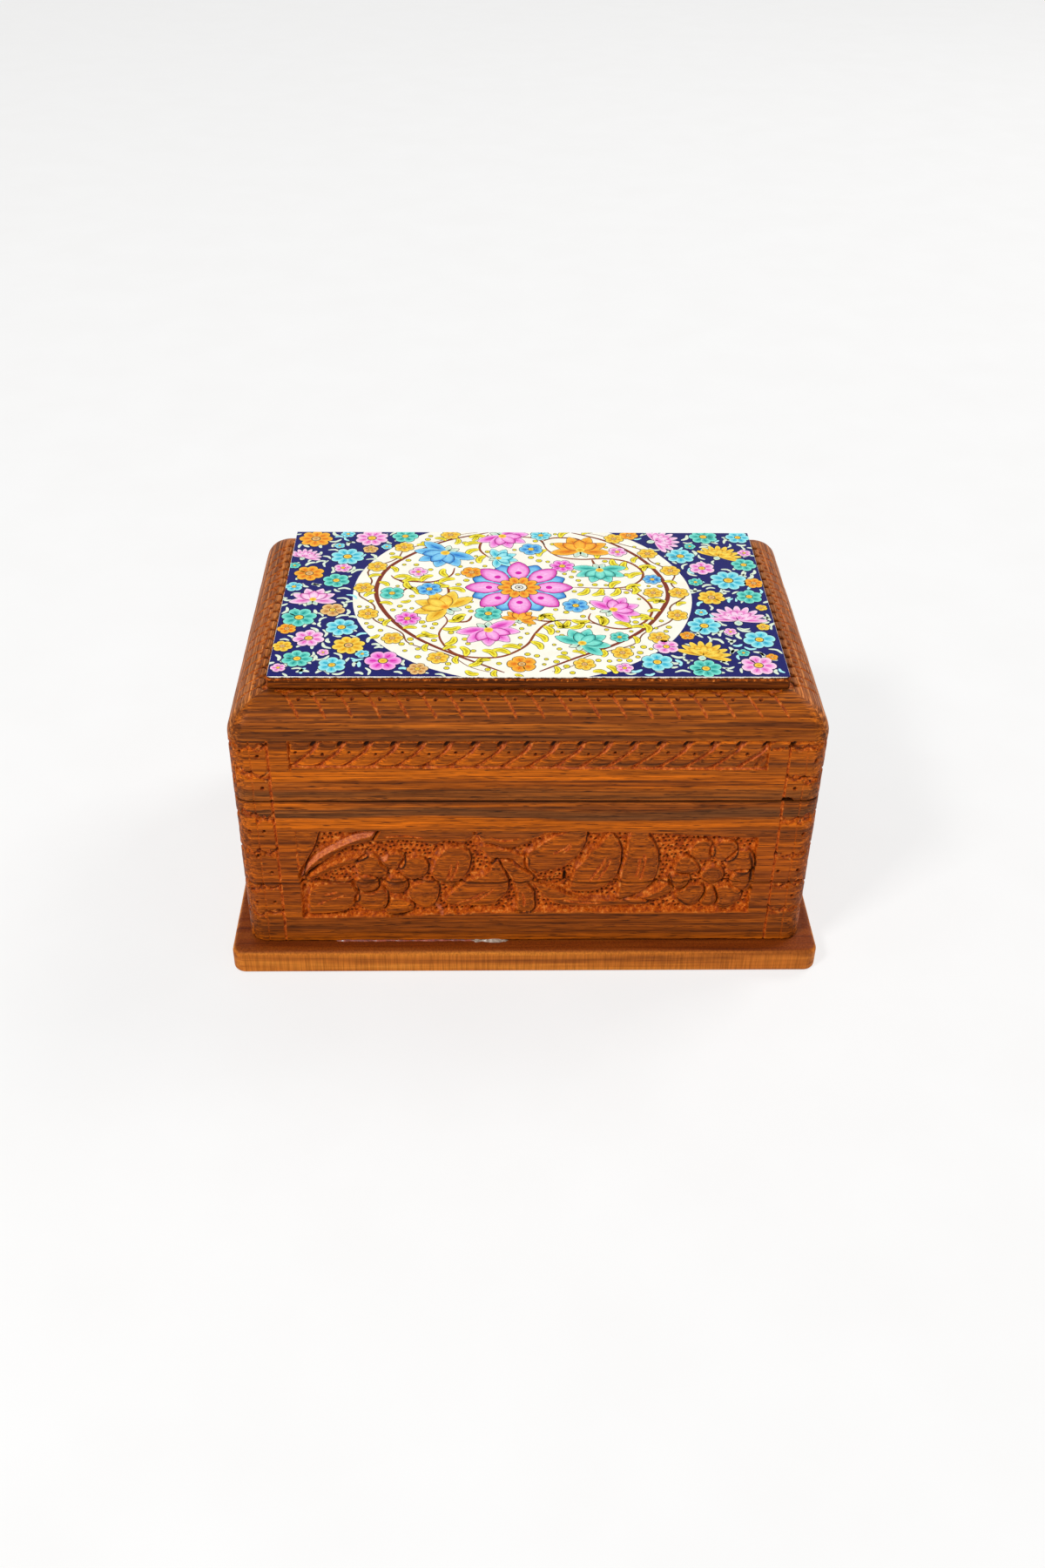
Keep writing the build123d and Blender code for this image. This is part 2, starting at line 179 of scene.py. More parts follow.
class Relief:
    """Depths in millimetres below a surface, with marks for fresh cuts, for painted highlights where a
    cut mark goes over 1, and for painted shade in the hollows.
    """

    def __init__(self, s, z, seed):
        self.s, self.z = s, z
        grid = np.meshgrid(s, z, indexing="ij")
        self.q = np.stack(grid, -1).reshape(-1, 2)
        wavy = 0.06 * noise(self.q, (14, 5), seed) + 0.03 * noise(self.q, (3, 1.2), seed + 1)
        self.depth = skin_depth + wavy
        self.cut = np.zeros(len(self.q))
        self.dark = np.zeros(len(self.q))
        self.sunk = np.zeros(len(self.q))
        self.seed = seed

    def near(self, points, margin):
        low = np.min(points, 0) - margin
        high = np.max(points, 0) + margin
        i = np.arange(np.searchsorted(self.s, low[0]), np.searchsorted(self.s, high[0]))
        j = np.arange(np.searchsorted(self.z, low[1]), np.searchsorted(self.z, high[1]))
        return (i[:, None] * len(self.z) + j).ravel()

    def mark(self, idx, cut, dark=0.0):
        """Marks fresh cuts, with a painted highlight where a cut mark goes over 1, and painted shade in
        hollows, and never takes such a mark away.
        """
        self.cut[idx] = np.maximum(self.cut[idx], cut)
        self.dark[idx] = np.maximum(self.dark[idx], dark)

    def ground(self, outline):
        """Sinks a panel with sloped, chiselled sides."""
        ring = np.asarray(outline, float)
        idx = self.near(ring, 0.5)
        q = self.q[idx]
        d = signed(q, ring) + 0.25 * noise(q, 1.7, self.seed + 2)
        rough = 0.22 * noise(q, 2.1, self.seed + 3) + 0.13 * noise(q, 0.8, self.seed + 4)
        t = smooth(d / 0.9)
        self.depth[idx] = self.depth[idx] * (1 - t) + (panel_depth + rough) * t
        self.mark(idx, smooth(d / 0.3))
        self.sunk[idx] = smooth((d + 0.1) / 0.3)

    def shadow_side(self, points, margin, d):
        """From 0 to 1: how far each point lies to a shape's lower right, where its painted shadow
        falls, as if lit from the upper left.
        """
        columns = np.searchsorted(self.s, np.max(points, 0)[0] + margin)
        columns -= np.searchsorted(self.s, np.min(points, 0)[0] - margin)
        grid = d.reshape(columns, -1)
        if min(grid.shape) < 3:
            return np.full(len(d), 0.5)
        right, up = np.gradient(-grid)
        facing = (0.8 * right - 0.6 * up) / (np.hypot(right, up) + 1e-9)
        return np.clip(0.5 + 0.6 * facing, 0, 1).ravel()

    def leaf(self, ring, top=0.2, edge=0.75, dome=2.4, trench=1.5):
        """A raised, domed shape with steep cut sides."""
        idx = self.near(ring, 1.1)
        if not len(idx):
            return
        q = self.q[idx]
        d = signed(q, ring)
        old = self.depth[idx]
        low = np.maximum(old, trench)
        wall_part = edge + (low - edge) * smooth(-d / 0.45)
        foot = low + (old - low) * smooth((-d - 0.45) / 0.5)
        crown = top + (edge - top) * (1 - np.clip(d / dome, 0, 1)) ** 2
        crown += 0.05 * noise(q, 1.3, self.seed + 5)
        new = np.where(d > 0, crown, np.where(d > -0.45, wall_part, foot))
        sunk = self.sunk[idx]
        new = new * sunk + old * (1 - sunk)
        use = (d > -0.95) & (sunk > 0)
        self.depth[idx] = np.where(use, new, old)
        # Painted light, as if lit from the upper left: the fresh rim is wider on that side and turns to
        # a painted highlight there, and the hollow round the shape is painted dark as shade, most on
        # the lower right.
        shadow_side = self.shadow_side(ring, 1.1, d)
        fresh = smooth((0.65 - 0.4 * shadow_side - d) / 0.35)
        fresh *= 0.75 + 0.35 * noise(q, 1.1, self.seed + 8) + 0.2 * (1 - shadow_side)
        self.cut[idx] = np.where(use, np.maximum(fresh, self.cut[idx] * (d < 0)), self.cut[idx])
        # Painted shade in the trench, strongest on the lower right.
        hollow = (0.15 + 0.85 * shadow_side ** 1.5) * smooth((0.85 + d) / 0.5)
        self.mark(idx, 0.0, np.where((d < -0.15) & use, hollow, 0.0))

    def blade(self, upper, ridge, lower, shine):
        """A long tapering leaf with a sharp ridge and a flank that faces up."""
        crest, foot, front_edge = 0.15, 1.5, 0.95
        upper, ridge, lower = (rounded(x, False) for x in (upper, ridge, lower))
        whole = np.concatenate([upper, lower[::-1]])
        self.leaf(whole, edge=0.9)
        idx = self.near(whole, 0.3)
        q = self.q[idx]
        up, _ = line_distance(q, upper)
        mid, _ = line_distance(q, ridge)
        down, _ = line_distance(q, lower)
        flank = inside(q, np.concatenate([upper, ridge[::-1]]))
        front = inside(q, np.concatenate([ridge, lower[::-1]]))
        t_up = up / (up + mid + 1e-6)
        t_down = mid / (mid + down + 1e-6)
        self.depth[idx] = np.where(flank, foot + (crest - foot) * t_up, self.depth[idx])
        self.depth[idx] = np.where(front, crest + (front_edge - crest) * t_down ** 1.5, self.depth[idx])
        # The upper flank takes the shine as its cut mark: over 1 that is a painted highlight.
        self.cut[idx] = np.where(flank, shine, np.where(front, 0.0, self.cut[idx]))

    def groove(self, line, width, deep, cut=1.0, taper=True, dark=0.0):
        """A cut along a line, thin at both ends if it tapers."""
        line = rounded(line, False)
        idx = self.near(line, width)
        d, along = line_distance(self.q[idx], line)
        thin = np.sin(np.pi * np.clip(along, 0.02, 0.98)) ** 0.4 if taper else 1.0
        d = d + 0.16 * width * noise(self.q[idx], 1.1, self.seed + 6)
        d = d + 0.2 * width * np.clip(noise(self.q[idx], 3.1, self.seed + 7), 0, 1)
        shape = np.clip(1 - 2 * d / width, 0, 1) * thin
        self.depth[idx] += deep * shape
        # A dark groove is painted shade, and a cut mark over 1 a painted highlight.
        self.mark(idx, cut * smooth(shape / 0.35), dark * smooth(shape / 0.8))

    def punch(self, points, radius, deep):
        """Round dots, with painted shade at the bottom."""
        for p in np.asarray(points, float):
            idx = self.near(p[None], radius * 1.5)
            e = self.q[idx] - p
            r = lengths(e) / radius
            shape = 1 - smooth((r - 0.25) / 0.95)
            self.depth[idx] += deep * shape
            self.mark(idx, 0.8 * (1 - smooth((r - 0.8) / 0.6)), shape)

    def pit(self, x, z, rx, rz, deep, dark, lean=0.0):
        """One oval hollow."""
        idx = self.near(np.array([[x - rx, z - rz], [x + rx, z + rz]]), 1.0)
        e = self.q[idx] - (x, z)
        u = (e[:, 0] - lean * e[:, 1]) / rx
        v = e[:, 1] / rz
        shape = np.clip(1 - (u * u + v * v), 0, 1)
        self.depth[idx] += deep * shape ** 0.7
        # The dark mark is painted shade in the hollow.
        self.mark(idx, smooth(shape / 0.25), dark * smooth(shape / 0.7))

    def chips(self, a, b, z, seed, thick):
        """A rough, chipped row across a band."""
        idx = self.near(np.array([[min(a, b), z - 2.6], [max(a, b), z + 2.6]]), 0)
        q = self.q[idx]
        wave = 0.9 * noise(q * (1, 0), (2.2, 1), seed) + 0.4 * noise(q * (1, 0), (0.9, 1), seed + 1)
        room = thick * (1 + 0.7 * noise(q, (1.7, 1.5), seed + 2)) - np.abs(q[:, 1] - z - wave)
        mask = smooth(room / 0.35 + 0.4)
        crumb = noise(q, (0.6, 0.5), seed + 3)
        self.depth[idx] += mask * (0.42 + 0.3 * crumb)
        # Cut marks over 1 are painted highlights, and the dark specks are painted shade.
        self.mark(idx, mask * (0.95 + 0.5 * crumb), 0.85 * mask * smooth((crumb - 0.45) / 0.25))

    def stipple(self, low, high):
        """Punched dots over the sunk ground, and nowhere that is less than so deep."""
        least = 1.25
        r = np.random.default_rng(self.seed)
        points = []
        rows = int((high[1] - low[1]) / dot_spacing)
        columns = int((high[0] - low[0]) / dot_spacing)
        for a in range(columns + 1):
            for b in range(rows + 1):
                shift = 0.5 * (b % 2)
                jitter = r.uniform(-0.3, 0.3, 2)
                p = np.array([low[0] + (a + shift + jitter[0]) * dot_spacing,
                              low[1] + (b + jitter[1]) * dot_spacing])
                idx = self.near(p[None], 0.45)
                if len(idx) and self.depth[idx].min() > least:
                    points.append(p)
        self.punch(points, dot_radius, 0.6)

    def rims(self):
        """Rounds the two long edges and paints shade along them, at the seams with the next part."""
        for end in (self.z[0], self.z[-1]):
            d = np.abs(self.q[:, 1] - end)
            near = np.clip(rim_radius - d, 0, rim_radius)
            self.depth += rim_radius - np.sqrt(rim_radius ** 2 - near ** 2)
            self.dark = np.maximum(self.dark, 0.75 * smooth(1 - d / rim_radius))


# ---------- the carved panel: flowers, fan leaves, stems and a stippled ground ----------

panel_outline = [(-60.2, 45.6), (-39, 45.5), (0, 45.2), (22, 45.2), (32, 45.0), (60.6, 43.3),
                 (60.3, 17.2), (0, 17.5), (-20, 16.8), (-40, 16.0), (-60.5, 15.7)]

leaf_lower_left = [(-58.6, 17.4), (-58.6, 20), (-58.2, 24), (-57, 26.3), (-55, 27.4), (-50.5, 28),
                   (-47.5, 28), (-45.6, 27), (-45.2, 24.5), (-45.2, 22), (-47.5, 19.3), (-49, 18.2),
                   (-51, 17.6), (-55, 17.2)]
leaf_r1 = [(-21, 39.9), (-18.6, 39.9), (-16.8, 39.4), (-15.8, 38.5), (-15.1, 36.8), (-15.1, 35),
           (-15.4, 33.1), (-16.1, 31.3), (-17.2, 29.6), (-18.6, 28.2), (-19.6, 27.3), (-20.3, 26.4),
           (-22.8, 28.2), (-24.2, 28.9), (-25.4, 31.2), (-25, 32.7), (-24.4, 35.2), (-23.5, 36.9)]
leaf_r2 = [(-8, 35.5), (-6.8, 32.7), (-5.8, 30.6), (-5.2, 28.5), (-5.1, 26.2), (-5.6, 24.3),
           (-6.7, 22.9), (-8.1, 21.3), (-9.5, 20.1), (-14, 19.8), (-20, 20.3), (-21.5, 20.5),
           (-21.7, 22.5), (-19.6, 25.2), (-17.4, 27.5), (-15.1, 28.9), (-13.3, 29.6), (-11.6, 30.5),
           (-10, 32), (-9.2, 34)]
fan_a = [(0, 33.1), (0, 37.8), (1.9, 39.6), (4.4, 41.7), (6.8, 43.6), (8.4, 44.3), (10.5, 45.6),
         (14.9, 47), (15.1, 42), (14.7, 40.5), (14.2, 38.9), (13.3, 37.3), (12.1, 35.9),
         (10.5, 34.5), (9.5, 33.3), (7.7, 32.7), (5.3, 32), (3.5, 31.3), (1.8, 32)]
fan_b = [(21.6, 44.8), (20.2, 42.9), (19.1, 41.2), (18.2, 39.9), (16.7, 38.9), (15.6, 36.6),
         (14.7, 35.2), (13.7, 33.8), (12.8, 32.6), (12.3, 31), (11.9, 28.9), (11.6, 27.1),
         (11.2, 25.5), (13, 24.8), (15.8, 24.7), (18.6, 25.2), (19.8, 25.9), (21.2, 27.1),
         (22.6, 28.4), (23.5, 29.9), (24, 31.7), (24.4, 33.4), (24.6, 35.2), (24.6, 37.6),
         (24.4, 39.8), (23.7, 41.5), (22.5, 43.4)]
fan_c = [(27.6, 47), (26.3, 42), (26.1, 38.2), (25.8, 35.9), (25.1, 33.3), (24.9, 30.6),
         (24.8, 28.9), (24.6, 26.2), (24.6, 22.6), (25.4, 22.3), (27.2, 22.9), (28.9, 23.8),
         (30.5, 24.6), (31.9, 25.9), (33.2, 27.8), (34, 29.6), (34.4, 31.5), (34.6, 34.1),
         (34.4, 37.3), (34, 38.9), (33.3, 40.6), (32.6, 42), (31.6, 43.3), (31.0, 47)]
hanging_leaf = [(-12.4, 47), (-12, 42), (-9.8, 41.2), (-8.1, 40.5), (-6.3, 39.9), (-3.7, 39.9),
                (-1.9, 40.5), (0, 41.4), (1.4, 42.6), (3.2, 43.8), (5.2, 47)]
top_vine = [(-42, 47.5), (-41, 42), (-34, 42.5), (-27.4, 41.7), (-24.7, 40.9), (-21, 42.2),
            (-17.2, 41.4), (-15, 43), (-13.6, 47.5)]
stem_top = [(-13.5, 40.4), (-11.6, 38.4), (-10.2, 36.6), (-9.6, 34.4), (-8, 36.2), (-4.7, 36.1),
            (-3.5, 35.5), (-2.5, 34.3), (-1.2, 33.1), (0, 32.3), (2.3, 30.8), (2.0, 31.9), (0.2, 33.4),
            (0, 36.2), (-1.8, 37.1), (-4.2, 38.5), (-6.7, 39.2), (-9.8, 40.2)]
stem_middle = [(-7.1, 35.3), (-6, 32.7), (-4.7, 30.6), (-3.7, 28.2), (-2.8, 25.7), (-2.5, 22.7),
               (-2.5, 18.2), (1.7, 18.2), (1.9, 21.9), (1.8, 24), (1, 25.7), (0, 27.3),
               (1.6, 29.4), (-0.6, 31.6), (-2.6, 33), (-4.2, 35)]
stem_bottom = [(1.6, 28.6), (4, 26.9), (6, 26.1), (7.9, 25.4), (9.6, 24.3), (11.4, 23.2), (13, 22.3),
               (15.8, 21.7), (22.8, 21.7), (25.4, 22), (30, 22), (32.6, 20.9), (32.6, 20.3),
               (22.8, 19.6), (15.8, 19.6), (9.8, 19.9), (7, 21.2), (5.3, 22.6), (3.5, 24.5)]
wedge = [(-60.4, 47.5), (-54.4, 47.5), (-55, 42.9), (-56.2, 39.4), (-58, 35.9), (-58.8, 33.3),
         (-59.9, 30.6)]

# Each blade's upper edge, ridge and lower edge, and the cut mark on its upper flank, which over 1 is a
# painted highlight.
blades = [
    ([(-39.2, 45.4), (-45.3, 44), (-50.1, 41.3), (-55.3, 37.5), (-58.5, 33.4), (-59.9, 30.1)],
     [(-40.5, 44), (-44.5, 42.6), (-49.7, 39.9), (-53.6, 37.3), (-56.9, 34.1), (-59.6, 30.2)],
     [(-41, 42), (-46.2, 40.3), (-48.8, 38.9), (-52.9, 35.9), (-56.7, 32.6), (-59, 30.2)], 1.5),
    ([(-58.8, 30.1), (-55, 33.1), (-51.5, 34.8), (-46.9, 36.6), (-42.9, 37.8)],
     [(-58.4, 29.9), (-55, 31.6), (-51.8, 33.8), (-47, 35.9), (-42.8, 37.4)],
     [(-57.6, 29.4), (-55, 30.4), (-52.9, 31.6), (-48.8, 33.6), (-45.2, 35), (-42.2, 36.8)], 0.9),
    ([(25.4, 22.4), (30, 23.6), (31.8, 24.9), (33.5, 26.4), (35.3, 28), (37.9, 29.8)],
     [(28, 21.6), (32.1, 22.9), (34, 24.1), (36.1, 25.3), (38.2, 28.6)],
     [(30, 20.5), (32.6, 21.2), (35.3, 22.2), (37.7, 23.6), (39.1, 25.4)], 0.9),
]

vein_lines = [
    [(-56, 20.5), (-54.1, 21.7), (-51.5, 22.7), (-48.7, 23.8)],
    [(-53.6, 24.1), (-50.8, 24.8)],
    [(-18.3, 35.5), (-18.6, 33.1), (-19.5, 30.6), (-20.5, 28)],
    [(-20, 34.3), (-20.5, 31.5), (-21.2, 28.9)],
    [(-18.8, 20.7), (-16, 22), (-13.7, 23.3), (-11.1, 25.2)],
    [(-16.1, 20.1), (-13.7, 21.7), (-11.8, 23.1), (-10, 24.5), (-8.9, 26.1)],
    [(7, 38), (8.4, 38.9), (10, 39.9), (11.2, 41.3)],
    [(9.5, 38.3), (10.5, 39.4), (11.4, 40.6)],
    [(20.8, 36.9), (20, 34.5), (18.9, 32.6), (17.7, 30.5), (16.8, 28.7)],
    [(21.9, 36.6), (21.6, 34.3), (20.7, 32.6), (19.8, 30.6), (18.8, 28.7)],
    [(29.6, 36.1), (29.6, 34.1), (29.3, 31.5), (28.9, 30.1)],
    [(30.9, 37.6), (31.1, 35), (30.7, 31.5), (30.2, 29.2)],
    [(-37, 43.6), (-32, 43.9), (-27.5, 43.2)],
    [(-9.6, 43.2), (-6.2, 42.2), (-2.6, 43)],
    [(-1.2, 24.5), (-0.7, 21.8), (-0.7, 19.6)],
    [(9.8, 22), (14, 20.8), (20, 20.6)],
]

foot_cuts = (-21.4, -18.8, -16.3, -14.4)

# Each flower's middle and boss, and its petals' middles and half sizes.
flowers = [
    ((-34.8, 26.8), 3.0, [(-41.1, 32.6, 2.6, 2.6), (-35.2, 35.0, 2.8, 2.0), (-30, 32.6, 2.8, 2.0),
                          (-27.6, 23.8, 2.2, 4.0), (-34.5, 19.5, 3.6, 2.2), (-41, 22.0, 2.8, 2.6),
                          (-42.5, 27.3, 2.5, 2.5)]),
    ((49.4, 30.0), 3.0, [(46.1, 38.3, 2.4, 2.2), (51.9, 38.2, 2.7, 2.3), (56.5, 34.5, 2.2, 2.8),
                         (57.4, 28, 1.9, 3.3), (53.7, 22.7, 2.8, 2.3), (48.9, 22.6, 1.9, 2.6),
                         (43.9, 23.6, 2.7, 2.3), (41, 28.3, 1.6, 2.2), (42.3, 33.3, 2.4, 1.7)]),
]


def oval(x, y, rx, ry, turn=0.0, count=20, pinch=0.0):
    """An oval ring, with its end nearest the flower's middle drawn in."""
    t = np.linspace(0, 2 * np.pi, count, endpoint=False)
    u = rx * np.cos(t)
    v = ry * np.sin(t) * (1 + pinch * np.cos(t))
    c, s = math.cos(turn), math.sin(turn)
    return np.stack([x + u * c - v * s, y + u * s + v * c], 1)


def carve_flower(relief, place, middle, boss, petals):
    """Hollowed petals round a smooth boss."""
    middle = place(middle)
    for x, z, rx, rz in petals:
        p = place((x, z))
        turn = math.atan2(p[1] - middle[1], p[0] - middle[0])
        reach = abs(math.cos(turn)) * rx + abs(math.sin(turn)) * rz + 0.5
        across = abs(math.sin(turn)) * rx + abs(math.cos(turn)) * rz + 0.1
        ring = oval(p[0], p[1], reach, across, turn, 22, 0.22)
        bend = 1 + 0.07 * np.sin(3 * np.linspace(0, 2 * np.pi, 22, endpoint=False) + x)
        ring = p + (ring - p) * bend[:, None]
        relief.leaf(ring, top=0.15, edge=1.0, dome=min(reach, across), trench=panel_depth)
        hollow = p - 0.15 * (p - middle)
        idx = relief.near(ring, 0)
        e = relief.q[idx] - hollow
        r = lengths(e) / (0.75 * min(rx, rz))
        relief.depth[idx] += 0.35 * (1 - smooth(r))
    relief.leaf(oval(*middle, boss, boss, 0, 26), top=0.0, edge=1.25, dome=boss, trench=boss_trench)


def as_drawn(points):
    return np.asarray(points, float)


def carve_panel(relief, outline, place=as_drawn, pick=lambda ring: True):
    """Cuts the whole panel. place() moves or mirrors the shapes, pick() says which are used."""
    relief.ground(outline)
    for shape in (top_vine, hanging_leaf, leaf_lower_left):
        ring = place(rounded(shape))
        if pick(ring):
            relief.leaf(ring)
    if pick(place(wedge)):
        relief.leaf(place(rounded(wedge)), edge=0.5)
    for upper, ridge, lower, shine in blades:
        if pick(place(upper)):
            relief.blade(place(upper), place(ridge), place(lower), shine)
    for shape in (stem_bottom, stem_middle, stem_top, leaf_r1, leaf_r2, fan_a, fan_c, fan_b):
        ring = place(rounded(shape))
        if pick(ring):
            relief.leaf(ring, dome=3.6 if shape in (fan_b, fan_c) else 3.0)
    for middle, boss, petals in flowers:
        if pick(place([p[:2] for p in petals])):
            carve_flower(relief, place, middle, boss, petals)
    cuts = [(line, 1.05, 0.65, 1.1) for line in vein_lines]
    cuts += [([(x - 0.6, 17.2), (x, 18.2), (x + 0.7, 19.3)], 0.9, 0.5, 1.0) for x in foot_cuts]
    for line, width, deep, cut in cuts:
        if pick(place(line)):
            relief.groove(place(line), width, deep, cut)
    outline = np.asarray(outline)
    relief.stipple(outline.min(0) + 0.8, outline.max(0) - 0.8)


def carve_corners(relief, half, heights_left, heights_right, dots):
    """Upright bands at the corners, split in two columns and cut across with scallops."""
    low, high = relief.z[0], relief.z[-1]
    for sign, heights in ((-1, heights_left), (1, heights_right)):
        band, split, corner = (sign * (half - inset) for inset in (10.2, 5.7, 1.7))
        for x, bow, width, deep, cut in ((band, 0.1, 0.85, 0.6, 1.1), (split, 0.15, 0.5, 0.25, 0.35)):
            relief.groove([(x, low - 1), (x + bow, (low + high) / 2), (x, high + 1)],
                          width, deep, cut, taper=False)
        for k, z in enumerate(heights):
            for n, (a, b) in enumerate(((band, split), (split, corner))):
                middle = (a + b) / 2
                seed = relief.seed + 17 * k + 5 * n + sign
                drop = 0.5 * math.sin(5.1 * k + 2.3 * n + sign)
                relief.chips(a, b, z + drop, seed, 0.75 + 0.2 * math.sin(3.0 * k + n))
                arc = [(a, z + 1.2), (middle, z - 0.5 + drop), (b, z + 1.0)]
                # The scallop arcs and the pits are painted dark as shade; cut marks over 1 are painted
                # highlights.
                relief.groove(arc, 0.9, 0.6, cut=1.1, taper=False, dark=0.5)
                if (k + n) % 2:
                    relief.pit(a + 0.8 * sign, z + 0.8, 1.3, 0.5, 0.6, 0.75, lean=0.6 * sign)
    relief.punch(dots, 0.58, 0.9)


# ---------- closed pieces from grids ----------

def add_attribute(mesh, name, values):
    """A number at each point of a mesh, for its material."""
    attribute = mesh.attributes.new(name, "FLOAT", "POINT")
    attribute.data.foreach_set("value", np.asarray(values, np.float32))


def make_piece(name, mesh, material, body, nodes):
    piece = bpy.data.objects.new(name, mesh)
    bpy.context.scene.collection.objects.link(piece)
    mesh.materials.append(material)
    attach(piece, body)
    if nodes:
        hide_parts(*nodes)


def closed_sheet(name, outer, inner, relief):
    """A closed mesh from a grid of outer points, and two rows of inner points behind it."""
    columns, rows = outer.shape[:2]
    count = columns * rows
    points = np.concatenate([outer.reshape(-1, 3), inner.reshape(-1, 3)]) * MM
    i, j = np.meshgrid(np.arange(columns - 1), np.arange(rows - 1), indexing="ij")
    a = (i * rows + j).ravel()
    k = np.arange(columns - 1)
    low = count + 2 * k
    quads = np.concatenate([
        np.stack([a, a + rows, a + rows + 1, a + 1], 1),
        np.stack([low, low + 1, low + 3, low + 2], 1),
        np.stack([k * rows + rows - 1, (k + 2) * rows - 1, low + 3, low + 1], 1),
        np.stack([k * rows, low, low + 2, (k + 1) * rows], 1),
    ])
    last = count + 2 * (columns - 1)
    start = list(range(rows)) + [count + 1, count]
    end = [last, last + 1] + list(range(count - 1, count - rows - 1, -1))
    mesh = bpy.data.meshes.new(name)
    mesh.from_pydata(points.tolist(), [], quads.tolist() + [start, end])
    mesh.polygons.foreach_set("use_smooth", np.ones(len(mesh.polygons), bool))
    mesh.set_sharp_from_angle(angle=math.radians(50))
    spare = np.zeros(2 * columns)
    # The cut mark carries fresh cut colour and, over 1, a painted highlight; the dark mark carries
    # painted shade.
    add_attribute(mesh, "cut", np.concatenate([relief.cut, spare]))
    add_attribute(mesh, "dark", np.concatenate([relief.dark, spare]))
    return mesh


def plan(side, fraction, inset, radius):
    """Places and outward directions along one side of a rounded rectangle."""
    tangent, normal, half, reach = sides[side]
    flat = half - inset - radius
    s = fraction * (flat + radius * math.pi / 4)
    angle = np.clip((np.abs(s) - flat) / radius, 0, math.pi / 4)
    along = np.sign(s) * (np.minimum(np.abs(s), flat) + radius * np.sin(angle))
    out = reach - inset - radius + radius * np.cos(angle)
    place = np.outer(along, tangent) + np.outer(out, normal)
    facing = np.outer(np.sign(s) * np.sin(angle), tangent) + np.outer(np.cos(angle), normal)
    return s, place, facing


def back_line(side, fraction, thick):
    """Points along the inside of a mitred board."""
    tangent, normal, half, reach = sides[side]
    out = np.full(len(fraction), reach - thick)
    return np.outer(fraction * (half - thick), tangent) + np.outer(out, normal)


def clear_of_stop(points, above):
    """Keeps a side wall's rear end under, or over, the slope that stops the open lid."""
    over = np.clip(points[..., 1] - hinge_y, 0, None) * stop_slope
    if above:
        points[..., 2] = np.maximum(points[..., 2], lid_low[2] + over)
    else:
        points[..., 2] = np.minimum(points[..., 2], base_high - over)


def wall_piece(name, node, body, side, low, high, step, carve, material, seed):
    """One carved wall: a carved skin that follows the rounded corners, and a flat back."""
    length = 2 * (sides[side][2] - corner_radius + corner_radius * math.pi / 4)
    fraction = np.linspace(-1, 1, int(length / step))
    heights = np.linspace(low, high, int((high - low) / step))
    s, place, facing = plan(side, fraction, 0, corner_radius)
    relief = Relief(s, heights, seed)
    carve(relief)
    relief.rims()
    depth = relief.depth.reshape(len(s), len(heights))
    outer = np.zeros((len(s), len(heights), 3))
    outer[..., :2] = place[:, None] - facing[:, None] * depth[..., None]
    outer[..., 2] = heights
    inner = np.zeros((len(s), 2, 3))
    inner[..., :2] = back_line(side, fraction, wall)[:, None]
    inner[..., 2] = (low, high)
    if side != "front":
        clear_of_stop(outer, body == "lid")
        clear_of_stop(inner, body == "lid")
    make_piece(name, closed_sheet(name, outer, inner, relief), material, body, [node])


# ---------- what is carved on each wall ----------

def front_base(relief):
    """The front of the base: the panel, a few single chips with painted highlights, painted shadows as
    dark grooves and a pit, a painted shade line at its foot, and the corner bands.
    """
    carve_panel(relief, panel_outline)
    # Two chips with painted highlights.
    relief.groove([(-38.6, 35.2), (-37.5, 36.1), (-36.6, 37.4)], 1.6, 0.5, cut=1.5)
    relief.groove([(-24.7, 19.7), (-23.4, 18.2), (-22.5, 16.8)], 1.2, 0.5, cut=1.5)
    relief.pit(10.0, 29.4, 0.6, 2.0, 0.8, 1.0)
    # Painted shadows: dark grooves beside the right flower and below it.
    relief.groove([(58.6, 38), (59.7, 34), (59.7, 29), (58.4, 25)], 1.3, 0.4, cut=0.3, dark=1.0)
    relief.groove([(40.3, 22.2), (42.6, 20.2), (45, 18.7)], 1.3, 0.5, cut=0.3, dark=0.9)
    # A painted shade line along the foot, where the wall meets the plinth.
    ends, middle = base_low + 0.15, base_low + 0.1
    relief.groove([(-half_length, ends), (0, middle), (half_length, ends)], 0.9, 0.3,
                  cut=0.2, taper=False, dark=1.0)
    carve_corners(relief, half_length, (50.3, 38.5, 26.5, 17.2), (49, 37, 27, 18.5),
                  [(-72.1, 45.5), (-68.2, 45.5), (-70.5, 37.2), (-67.3, 31.7), (-72.4, 21.2),
                   (-67.4, 21.4), (72.1, 44.3), (66.8, 31.8), (72.2, 32.1), (71.6, 23.2)])


side_outline = [(-34.8, 45.4), (0, 45.6), (34.8, 45.3), (34.6, 30), (34.9, 17.4), (0, 17.1),
                (-34.8, 17.3)]
side_shift = 9.6
side_reach = 35.5


def side_base(mirror):
    """An end of the base: the middle of the front's pattern, mirrored on one of the two ends."""
    def carve(relief):
        def place(p):
            return np.asarray(p, float) * (mirror, 1) + (mirror * side_shift, 0)

        def pick(ring):
            return np.abs(ring[:, 0]).max() < side_reach

        carve_panel(relief, side_outline, place, pick)
        carve_corners(relief, half_width, (50, 38.2, 26.8, 17.4), (49.5, 37.6, 27, 18),
                      [(-45.7, 45.3), (-41.6, 44.8), (-45.4, 33), (-41.2, 31.9), (-45.5, 21.8),
                       (45.4, 44.2), (41.4, 45), (45.8, 32.2), (41.5, 21.5)])
    return carve


